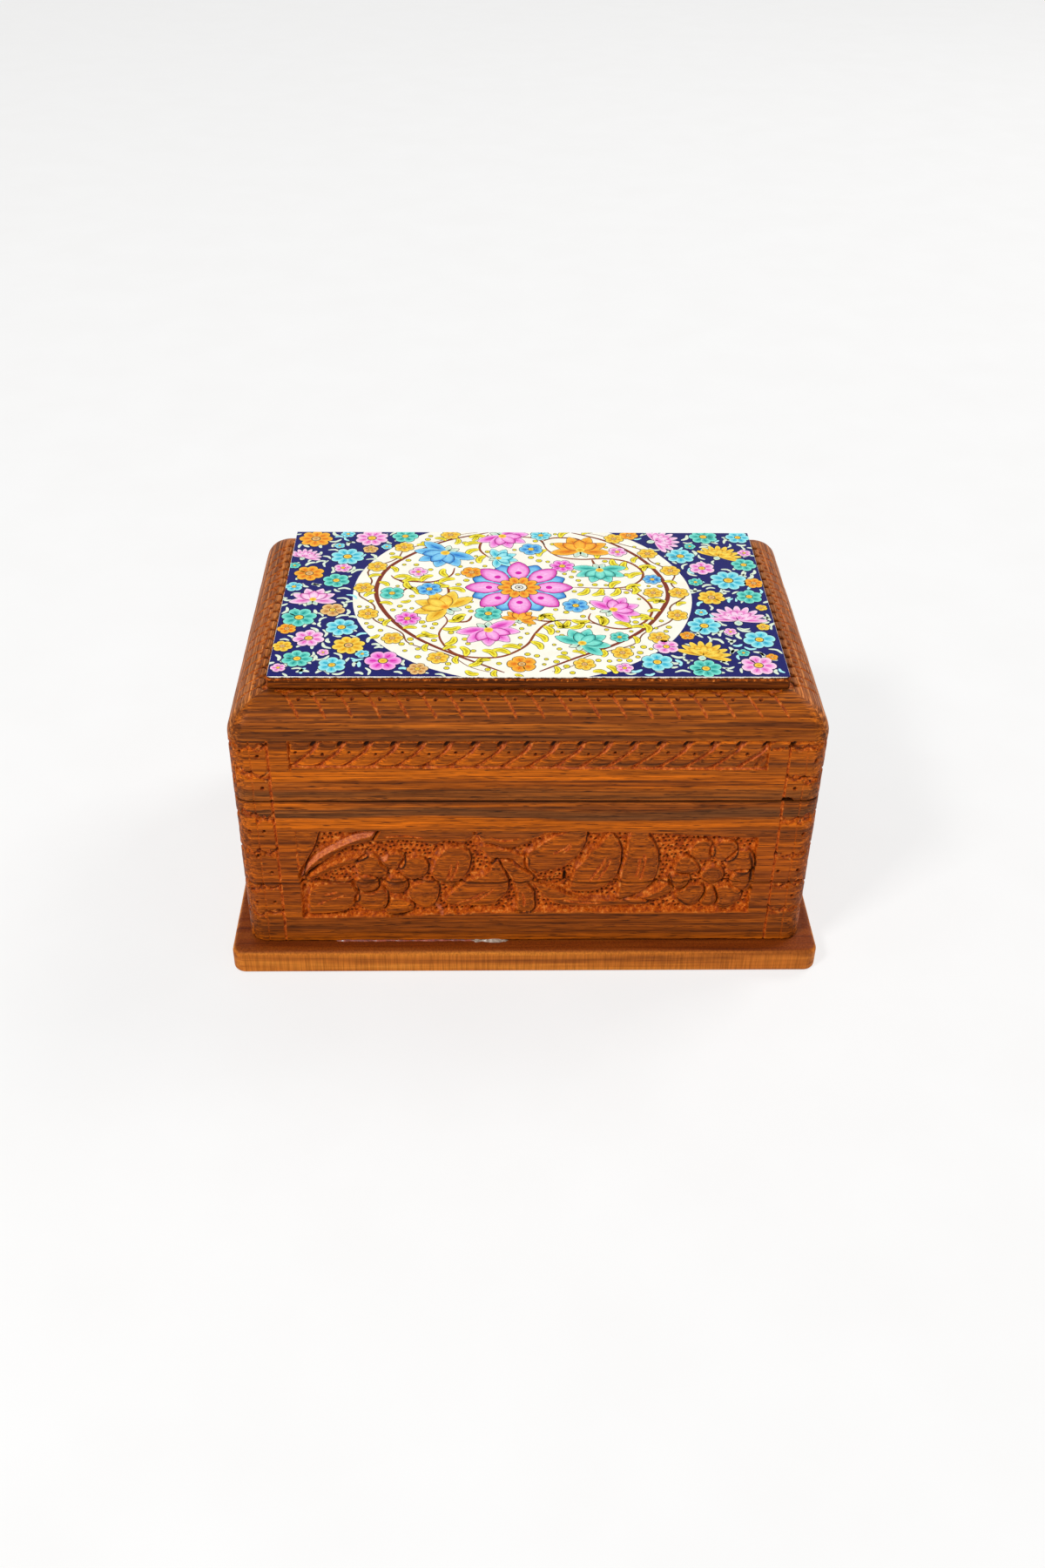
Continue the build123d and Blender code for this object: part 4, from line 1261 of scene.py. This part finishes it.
def leaf_stroke(paint, x, y, turn, length, width, tint, level, edge=None, bend=0.22):
    """A curved leaf: on the white with an ink edge and a darker heart, on the blue without."""
    c, s = math.cos(turn), math.sin(turn)
    bend = bend * length
    line = np.array([(x, y), (x + 0.5 * length * c - bend * s, y + 0.5 * length * s + bend * c),
                     (x + length * c, y + length * s)])
    if edge is not None:
        paint.stroke(line, width + 0.42, level - 0.3, edge)
    paint.stroke(line, width, level, tints[tint][1])
    if edge is not None:
        paint.stroke([0.7 * line[0] + 0.3 * line[1], line[1], 0.4 * line[1] + 0.6 * line[2]],
                     0.42 * width, level + 0.4, tints[tint][0], 3)


medallion_x, medallion_y, medallion_rx, medallion_ry = -1.0, 2.5, 45.8, 44.0
rosette = (-1.8, 6.3, 13.8)

# Each flower's middle, size and tint. Then the number of petals, or the way it opens and the
# tint of its heart.
round_flowers = [
    (-59.5, 34.5, 4.6, "orange", 8), (-43.5, 35, 4.6, "pink", 8), (-34, 36.2, 3.6, "teal", 6),
    (-49.7, 23.8, 4.6, "cyan", 8), (-59.5, 14, 4.0, "orange", 7), (-51.8, 10, 3.6, "teal", 6),
    (-51.5, -6, 3.2, "tan", 5), (-60, -10, 4.5, "teal", 7), (-48.5, -15, 4.1, "cyan", 7),
    (-56.5, -20.5, 4.0, "pink", 7), (-46, -24, 4.1, "gold", 8), (-58.5, -30.5, 3.8, "teal", 7),
    (-49.5, -33.5, 3.5, "cyan", 6), (-36.8, -31.5, 4.5, "magenta", 6), (-63, 6.5, 2.4, "cyan", 5),
    (-62.6, -15.8, 2.4, "orange", 5), (-62.8, -24.5, 2.5, "gold", 6), (-62.8, -34.8, 1.9, "pink", 5),
    (-28, -35.3, 2.6, "tan", 6), (-43.5, 28.2, 2.1, "tan", 5), (-50.5, 17.2, 2.4, "pink", 5),
    (-39, 29.8, 1.5, "cyan", 5), (-52.4, 30.3, 1.5, "cyan", 5), (-52.2, -27.5, 1.5, "pink", 5),
    (-42.2, -28.2, 1.8, "cyan", 5), (-64, 18.5, 1.6, "teal", 5), (-50.5, 37.5, 2.0, "cyan", 6),
    (52, 36.3, 4.0, "teal", 7), (62, 36, 3.4, "cyan", 6), (44.2, 24.5, 4.0, "cyan", 7),
    (49.5, 17.5, 3.5, "pink", 6), (61.5, 19.5, 3.4, "teal", 6), (56, 10.5, 5.0, "cyan", 8),
    (62.8, 9, 2.6, "orange", 6), (50.2, 1, 3.6, "gold", 7), (60.5, 1.5, 3.5, "teal", 6),
    (46.5, -14, 4.3, "cyan", 7), (60, -21, 4.1, "cyan", 6), (35.5, -24.5, 3.2, "pink", 5),
    (32.5, -32, 4.0, "cyan", 6), (44.5, -35, 4.0, "teal", 7), (58, -33.5, 4.4, "pink", 7),
    (62.6, 26.5, 1.9, "pink", 5), (46.8, 9.5, 2.0, "teal", 6), (41.5, -19, 1.9, "orange", 5),
    (24, -34.8, 2.2, "pink", 5), (53, -17, 1.7, "pink", 5), (55, -27.5, 1.6, "teal", 5),
    (62, -14.5, 1.7, "gold", 5), (62, -29.5, 1.5, "orange", 5), (30.5, 37.2, 2.6, "orange", 6),
    (47.5, 30.5, 1.6, "teal", 5), (46.5, -7, 1.7, "cyan", 5), (63, -4.5, 1.5, "gold", 5),
    (2, 28.5, 3.2, "blue", 5), (5, 37, 2.9, "cyan", 7), (10.5, 18.5, 3.3, "magenta", 7),
    (-29.5, 15, 2.4, "pink", 4), (26.5, 27, 2.6, "pink", 5), (-31.5, -10.5, 3.3, "magenta", 7),
    (-14.8, 14.8, 2.8, "orange", 5), (-26.2, 5.3, 3.3, "blue", 6), (13.2, -3.5, 3.4, "blue", 6),
    (35.0, 11, 2.5, "blue", 7), (-36.2, 3, 3.2, "teal", 4), (-10.2, -7.8, 3.6, "teal", 6),
    (23.8, -19.8, 2.4, "teal", 6), (-1.8, -33, 3.6, "orange", 5), (34.6, 3.5, 2.6, "gold", 6),
]
border_size = 2.7
border_flowers = [(-34, 29.5), (-41, 18), (-44, 6), (-42, -8), (-35, -20.5), (-23, -30), (-21, 37.2),
                  (35, 26), (40.5, 16), (41.5, 3.5), (40, -8.5), (34, -20), (24, -27.5), (14, -33),
                  (26, 35)]
lotuses = [
    (-57.2, 1, 4.8, "pink", 1.57, "gold"), (16, 30, 6.4, "orange", 1.57, "gold"),
    (20.8, 14.5, 5.6, "teal", -1.57, "gold"), (-23.5, 24.5, 6.6, "blue", -2.2, "gold"),
    (-23.2, -3, 6.6, "gold", 2.4, "orange"), (-1.5, -9.5, 3.6, "orange", 1.2, "gold"),
    (24.5, -4.5, 5.6, "magenta", 0.7, "gold"), (-9.5, -18, 6.2, "magenta", -1.2, "gold"),
    (15, -21.5, 5.6, "teal", 0.9, "gold"), (-6, 23.2, 4.2, "cyan", 0.1, "gold"),
    (-5, 35, 5.8, "magenta", -0.9, "gold"),
]
carnations = [
    (-61.3, 25, 3.4, "pink", 1.2), (40.2, 34.3, 4.8, "pink", 0.3), (56, 26.5, 4.4, "gold", 1.1),
    (56, -8.5, 5.2, "pink", 1.5), (45.5, -26.5, 4.8, "gold", 1.2),
]
vines = [
    [(5.5, 33.5), (6.5, 28.5), (10, 24), (16, 22.5), (23, 23), (29, 21), (32.5, 16), (32, 11), (28, 7),
     (22, 6), (13, 6.5)],
    [(22, 6), (28, 5), (32, 0), (33.5, -6), (31, -12), (26, -15.5), (20.5, -14.5), (16.5, -11),
     (17, -7.5)],
    [(20.5, -14), (15, -12), (9, -11.2), (5, -13), (2, -18), (-0.5, -24), (-6, -29), (-12, -30),
     (-18, -28.5), (-21.5, -24), (-23, -18), (-21, -12), (-22, -8.5)],
    [(-37, 13), (-35, 10.5), (-30, 9.5), (-25, 9.5), (-20.5, 13), (-19.5, 17.5)],
    [(-25, 9.5), (-21.5, 7), (-21, 2), (-22.5, -1)],
    [(-35, 10.5), (-32, 7), (-34, 3.5)],
    [(-10, 37.5), (-12, 33), (-12.5, 28), (-10, 23.5)],
    [(-1, 36), (4, 35), (6, 31)],
    [(5.5, 33.5), (9, 35.5), (15, 35), (17, 33)],
    [(19, 22.5), (20, 17)],
    [(-21, -12), (-16, -12), (-14.5, -9)],
    [(2, -11), (5.5, -11.8), (9, -11.2)],
]
ring_left = [(-10, 38.7), (-22, 33.6), (-31, 26), (-38, 17), (-40.5, 7), (-39.5, -2), (-35, -12),
             (-28, -21), (-18, -29), (-6.2, -37)]
ring_right = [(14, 38.7), (23, 34), (30, 27), (35, 19), (38, 10), (38.5, 2), (36, -6), (31, -15),
              (23, -23), (12, -30), (2.5, -36.5)]


def medallion_edge(side):
    """The medallion's edge on one side, from the plaque's back edge to its front edge."""
    top = math.asin((paint_reach[1] - medallion_y) / medallion_ry)
    bottom = math.asin((-paint_reach[1] - medallion_y) / medallion_ry)
    t = np.linspace(top, bottom, 36)
    wobble = 0.12 * np.sin(9 * t + side)
    return np.stack([medallion_x + side * (medallion_rx + wobble) * np.cos(t),
                     medallion_y + medallion_ry * np.sin(t)], 1)


def in_medallion(x, y, grow=0.0):
    """Whether a point lies on the white medallion, or on one that much larger."""
    u = (x - medallion_x) / (medallion_rx + grow)
    v = (y - medallion_y) / (medallion_ry + grow)
    return u * u + v * v < 1


def room_at(points, taken):
    """The least distance from the points to what is already painted."""
    spots = np.array(taken)
    q = np.asarray(points, float)
    return (lengths(q[:, None] - spots[:, :2]) - spots[:, 2]).min()


def paint_vine_leaves(paint, line, taken, apart, length, first=1.0):
    """Leaves that leave a vine to its two sides in turn."""
    path = rounded(line, False, 8)
    run = np.concatenate([[0], np.cumsum(np.hypot(*np.diff(path, axis=0).T))])
    made = []
    side = 1
    for at in np.arange(first, run[-1] - 0.5, apart):
        k = min(np.searchsorted(run, at), len(path) - 2)
        step = path[k + 1] - path[k]
        for side_now in (side, -side):
            turn = math.atan2(step[1], step[0]) + 0.95 * side_now
            away = np.array([math.cos(turn), math.sin(turn)])
            root = path[k] + 0.25 * away
            along = [root + away * length * part for part in (0.3, 0.65, 1.0)]
            if room_at(along, taken + made) > 0.7:
                leaf_stroke(paint, *root, turn, length, 0.36 * length, "yellow", 1.6, leaf_ink,
                            0.2 * side_now)
                made += [(*p, 0.8) for p in along]
                break
        side = -side
    return made


def paint_leaves(paint, taken):
    """Fills what is left with leaves and dots: pale on the blue, yellow on the white."""
    r = np.random.default_rng(5)
    for _ in range(5000):
        x, y = r.uniform(-paint_reach + 1, paint_reach - 1)
        white = in_medallion(x, y)
        if white != in_medallion(x, y, -1.6 if white else 1.6):
            continue
        turn = r.uniform(0, 2 * math.pi)
        away = np.array([math.cos(turn), math.sin(turn)])
        room = room_at([(x, y)], taken)
        if white:
            length = r.uniform(2.6, 4.4)
            spots = [(x, y) + away * length * part for part in (0.0, 0.5, 1.0)]
            if room_at(spots, taken) > 1.0:
                leaf_stroke(paint, x, y, turn, length, 0.42 * length, "yellow", 1.6, leaf_ink)
                taken += [(*p, 1.1) for p in spots]
            elif room > 0.95:
                size = r.uniform(0.4, 0.75)
                paint.disc(x, y, size + 0.2, 1.2, leaf_ink, None, 10)
                paint.disc(x, y, size, 1.7, *tints["yellow"][::-1], 10)
                taken.append((x, y, 1.1))
        elif room > 0.5:
            length = r.uniform(2.2, 4.0)
            tint = "cream" if r.random() < 0.85 else "cyan"
            leaf_stroke(paint, x, y, turn, length, r.uniform(0.7, 1.1), tint, 1.4)
            spots = [(x, y) + away * length * part for part in (0.0, 0.35, 0.7, 1.0)]
            taken += [(*p, 0.75) for p in spots]


def paint_plaque():
    """The whole painting, from the ground up: rings, vines, flowers, and leaves in what is left."""
    paint = Paint()
    taken = []
    for side in (-1, 1):
        reach = side * paint_reach[0]
        outline = [(reach, paint_reach[1]), *medallion_edge(side), (reach, -paint_reach[1])]
        paint.slab(outline, 0.6, navy)
    for line in (ring_left, ring_right):
        paint.stroke(line, 1.25, 1.2, ring_brown, 6)
        taken += [(x, y, 0.8) for x, y in rounded(line, False)]
    for line in vines:
        paint.stroke(line, 0.75, 1.3, vine_brown, 5)
        taken += [(x, y, 0.5) for x, y in rounded(line, False)]
    for side, line in ((-1, ring_left), (1, ring_right)):
        t = np.linspace(0, 1, 40)
        ring = rounded(line, False, 6)
        at = np.linspace(0, 1, len(ring))
        path = np.stack([np.interp(t, at, ring[:, k]) for k in (0, 1)], 1)
        path[:, 0] += side * (3.2 + 1.5 * np.sin(2 * np.pi * t * 6.5))
        paint.stroke(path, 0.5, 1.2, tendril_brown, 2)
        taken += [(x, y, 0.35) for x, y in path]
    for x, y, radius, tint, count in round_flowers:
        heart = "tan" if tint in ("gold", "orange") else "gold"
        paint.round_flower(x, y, radius, tint, count, 0.37 * x, heart)
        taken.append((x, y, radius))
    for x, y in border_flowers:
        paint.round_flower(x, y, border_size, "gold", 6, 0.2 * y, "tan")
        taken.append((x, y, border_size))
    for x, y, radius, tint, turn, heart in lotuses:
        paint.lotus(x, y, radius, tint, turn, heart)
        taken.append((x, y, radius))
    for x, y, radius, tint, turn in carnations:
        paint.carnation(x, y, radius, tint, turn)
        taken.append((x, y, radius * 1.1))
    paint_rosette(paint, *rosette[:2])
    flowers = [rosette] + [t for t in taken if t[2] > 1.0]
    for line in vines:
        taken += paint_vine_leaves(paint, line, flowers, 4.1, 4.8)
    for line in (ring_left, ring_right):
        taken += paint_vine_leaves(paint, line, flowers, 5.2, 3.6, 2.6)
    taken.append(rosette)
    paint_leaves(paint, taken)
    return paint


def paint_rosette(paint, x, y):
    """The large flower in the middle: blue points behind magenta ones, an orange ring, an eye."""
    for k in range(8):
        a = math.pi * (2 * k + 1) / 8
        paint.petal(*polar(x, y, 4, a), a, 9.6, 6.4, "blue", 1.6, True, flip=True)
    for k in range(8):
        a = math.pi * 2 * k / 8
        paint.petal(*polar(x, y, 4.2, a), a, 10.4, 6.2, "magenta", 2.6, True, flip=True)
        paint.disc(*polar(x, y, 8.2, a), 0.9, 4.1, tints["magenta"][0])
    for k in range(10):
        a = math.pi * 2 * k / 10
        paint.petal(*polar(x, y, 1.6, a), a, 4.2, 3.1, "orange", 4.2)
    paint.disc(x, y, 2.3, 6.0, ink)
    paint.disc(x, y, 2.05, 6.3, *eye_white)
    paint.disc(x, y, 1.15, 6.6, ink)
    paint.disc(x, y, 0.9, 6.9, *eye_grey)
    paint.disc(x, y, 0.38, 7.1, ink, None, 10)


def paint_material():
    """Brushed, slightly uneven paint in the colour at each point."""
    g = Graph("gouache_paint")
    brush = g.noise(1100, 3, 0.6)
    fine = g.noise(5200, 2, 0.6)
    colour = g.attribute("paint", "Color")
    colour = g.shade(0.75, colour, brush, [(0.3, (0.8, 0.8, 0.82, 1)), (0.65, (1.08, 1.08, 1.06, 1))])
    g.bump(g.math("ADD", brush, fine), 0.25, 0.00006)
    return g.finish(colour, g.level(fine, 0.3, 0.7, 0.36, 0.52), specular=0.12)


def sheet_material():
    """A warm white, with the dark board showing raggedly at the foot of its edge."""
    g = Graph("white_plaque_sheet")
    mottle = g.noise(160, 4, 0.6)
    colour = g.ramp(mottle, [(0.3, (246, 241, 224)), (0.7, (255, 252, 240))])
    chips = g.noise(900, 3, 0.7)
    z = g.math("ADD", g.along("Z"), g.level(chips, 0.3, 0.7, -0.0002, 0.0002))
    covered = g.level(z, (sheet_top - 0.3) * MM, (sheet_top - 0.22) * MM)
    colour = g.mix(covered, (70, 34, 12), colour)
    g.bump(g.math("ADD", mottle, chips), 0.3, 0.00005)
    return g.finish(colour, g.level(chips, 0.3, 0.7, 0.38, 0.55), specular=0.25)


def make_sheet():
    """The white sheet, its edge a little uneven and chipped."""
    half = plaque_high[:2] - 0.05
    corner, spacing, chamfer = 1.2, 0.5, 0.12
    centre = half - corner
    ring = []
    for sx, sy, start in ((1, 1, 0), (-1, 1, 90), (-1, -1, 180), (1, -1, 270)):
        for step in range(7):
            a = math.radians(start + 15 * step)
            ring.append(polar(sx * centre[0], sy * centre[1], corner, a))
    ring = np.array(ring)
    dense = []
    for a, b in zip(ring, np.roll(ring, -1, 0)):
        count = max(1, int(lengths(b - a) / spacing))
        dense += [a + (b - a) * k / count for k in range(count)]
    dense = np.array(dense)
    chip = np.clip(noise(dense, (2.3, 2.3), 77) - 0.35, 0, 1) * 0.25
    away = dense / lengths(dense)[:, None]
    dense -= away * chip[:, None]
    n = len(dense)
    low = [(x, y, plaque_low[2]) for x, y in dense]
    shoulder = [(x, y, sheet_top - chamfer) for x, y in dense]
    drawn_in = 1 - chamfer / half
    high = [(x, y, sheet_top) for x, y in dense * drawn_in]
    faces = [list(range(n))[::-1], list(range(2 * n, 3 * n))]
    for row in (0, n):
        faces += [[row + k, row + (k + 1) % n, row + n + (k + 1) % n, row + n + k] for k in range(n)]
    mesh = bpy.data.meshes.new("plaque_sheet")
    mesh.from_pydata((np.array(low + shoulder + high) * MM).tolist(), [], faces)
    return mesh


def add_plaque():
    """The sheet, which stands for the CAD plaque, and the painting that lies on it."""
    make_piece("plaque_sheet", make_sheet(), sheet_material(), "lid", ["painted_plaque"])
    paint = paint_plaque()
    mesh = bpy.data.meshes.new("plaque_painting")
    mesh.from_pydata((np.array(paint.points) * MM).tolist(), [], paint.faces)
    layer = mesh.color_attributes.new("paint", "FLOAT_COLOR", "POINT")
    layer.data.foreach_set("color", np.array(paint.colours, np.float32).ravel())
    make_piece("plaque_painting", mesh, paint_material(), "lid", [])


add_plaque()


# ---------- floor, light and camera ----------

def seen_directly(tree):
    """One for what the camera, or a mirror or glass, looks at, and zero for light on its way."""
    path = tree.nodes.new("ShaderNodeLightPath")
    value = path.outputs["Is Camera Ray"]
    for name in ("Is Glossy Ray", "Is Transmission Ray"):
        most = tree.nodes.new("ShaderNodeMath")
        most.operation = "MAXIMUM"
        tree.links.new(value, most.inputs[0])
        tree.links.new(path.outputs[name], most.inputs[1])
        value = most.outputs["Value"]
    return value


def make_floor():
    """A pale floor that looks nearly white, and still takes the box's shadow."""
    size = 5.0
    mesh = bpy.data.meshes.new("floor")
    mesh.from_pydata([(-size, -size, 0), (size, -size, 0), (size, size, 0), (-size, size, 0)], [],
                     [(0, 1, 2, 3)])
    floor = bpy.data.objects.new("floor", mesh)
    bpy.context.scene.collection.objects.link(floor)
    g = Graph("pale_floor")
    tone = g.ramp(g.noise(30), [(0.3, (236, 234, 231)), (0.7, (242, 241, 239))])
    white = g.add("ShaderNodeEmission")
    mixed = g.add("ShaderNodeMixShader")
    g.set(mixed.inputs["Fac"], g.math("MULTIPLY", seen_directly(g.tree), 0.7))
    g.join(g.shader.outputs["BSDF"], mixed.inputs[1])
    g.join(white.outputs["Emission"], mixed.inputs[2])
    g.join(mixed.outputs["Shader"], g.output.inputs["Surface"])
    mesh.materials.append(g.finish(tone, 0.8, specular=0.1))


def make_world(strength):
    """White where it is looked at, and a soft even light on the box."""
    world = bpy.data.worlds.new("studio")
    bpy.context.scene.world = world
    world.use_nodes = True
    tree = world.node_tree
    background = tree.nodes["Background"]
    background.inputs["Color"].default_value = (1, 1, 1, 1)
    background.inputs["Strength"].default_value = strength
    behind = tree.nodes.new("ShaderNodeBackground")
    behind.inputs["Color"].default_value = (1, 1, 1, 1)
    mixed = tree.nodes.new("ShaderNodeMixShader")
    tree.links.new(seen_directly(tree), mixed.inputs["Fac"])
    tree.links.new(background.outputs["Background"], mixed.inputs[1])
    tree.links.new(behind.outputs["Background"], mixed.inputs[2])
    tree.links.new(mixed.outputs["Shader"], tree.nodes["World Output"].inputs["Surface"])


def make_light(name, place, size, power):
    """A square lamp that points at the middle of the floor."""
    lamp = bpy.data.lights.new(name, "AREA")
    lamp.shape = "SQUARE"
    lamp.size = size
    lamp.energy = power
    light = bpy.data.objects.new(name, lamp)
    bpy.context.scene.collection.objects.link(light)
    light.location = place
    light.rotation_mode = "QUATERNION"
    light.rotation_quaternion = (-light.location).to_track_quat("-Z", "Y")


camera_place = (-0.0109, -0.35717, 0.28910)
camera_lens = 34.76
camera_turn = (36.51, 1.727, 0.976)


def make_camera():
    """The photograph's view, from the camera that was fitted to the box's edges."""
    pitch, yaw, roll = (math.radians(x) for x in camera_turn)
    forward = np.array([math.sin(yaw) * math.cos(pitch), math.cos(yaw) * math.cos(pitch),
                        -math.sin(pitch)])
    right = np.array([math.cos(yaw), -math.sin(yaw), 0])
    up = np.cross(right, forward)
    turned_right = right * math.cos(roll) + up * math.sin(roll)
    turned_up = up * math.cos(roll) - right * math.sin(roll)
    camera = bpy.data.objects.new("camera", bpy.data.cameras.new("camera"))
    bpy.context.scene.collection.objects.link(camera)
    camera.data.sensor_width = 36
    camera.data.lens = camera_lens
    camera.data.clip_start = 0.01
    rows = np.stack([turned_right, turned_up, -forward], 1)
    camera.matrix_world = Matrix.Translation(camera_place) @ Matrix(rows.tolist()).to_4x4()
    bpy.context.scene.camera = camera


make_floor()
make_world(strength=0.36)
make_light("window", (1.0, 0.7, 1.3), size=0.7, power=12)
make_light("key_upper_left", (-0.8, -0.8, 1.2), size=0.3, power=13.5)
make_light("front_fill", (0.2, -1.4, 0.8), size=0.8, power=3)
make_camera()
bpy.context.scene.view_settings.view_transform = "Standard"
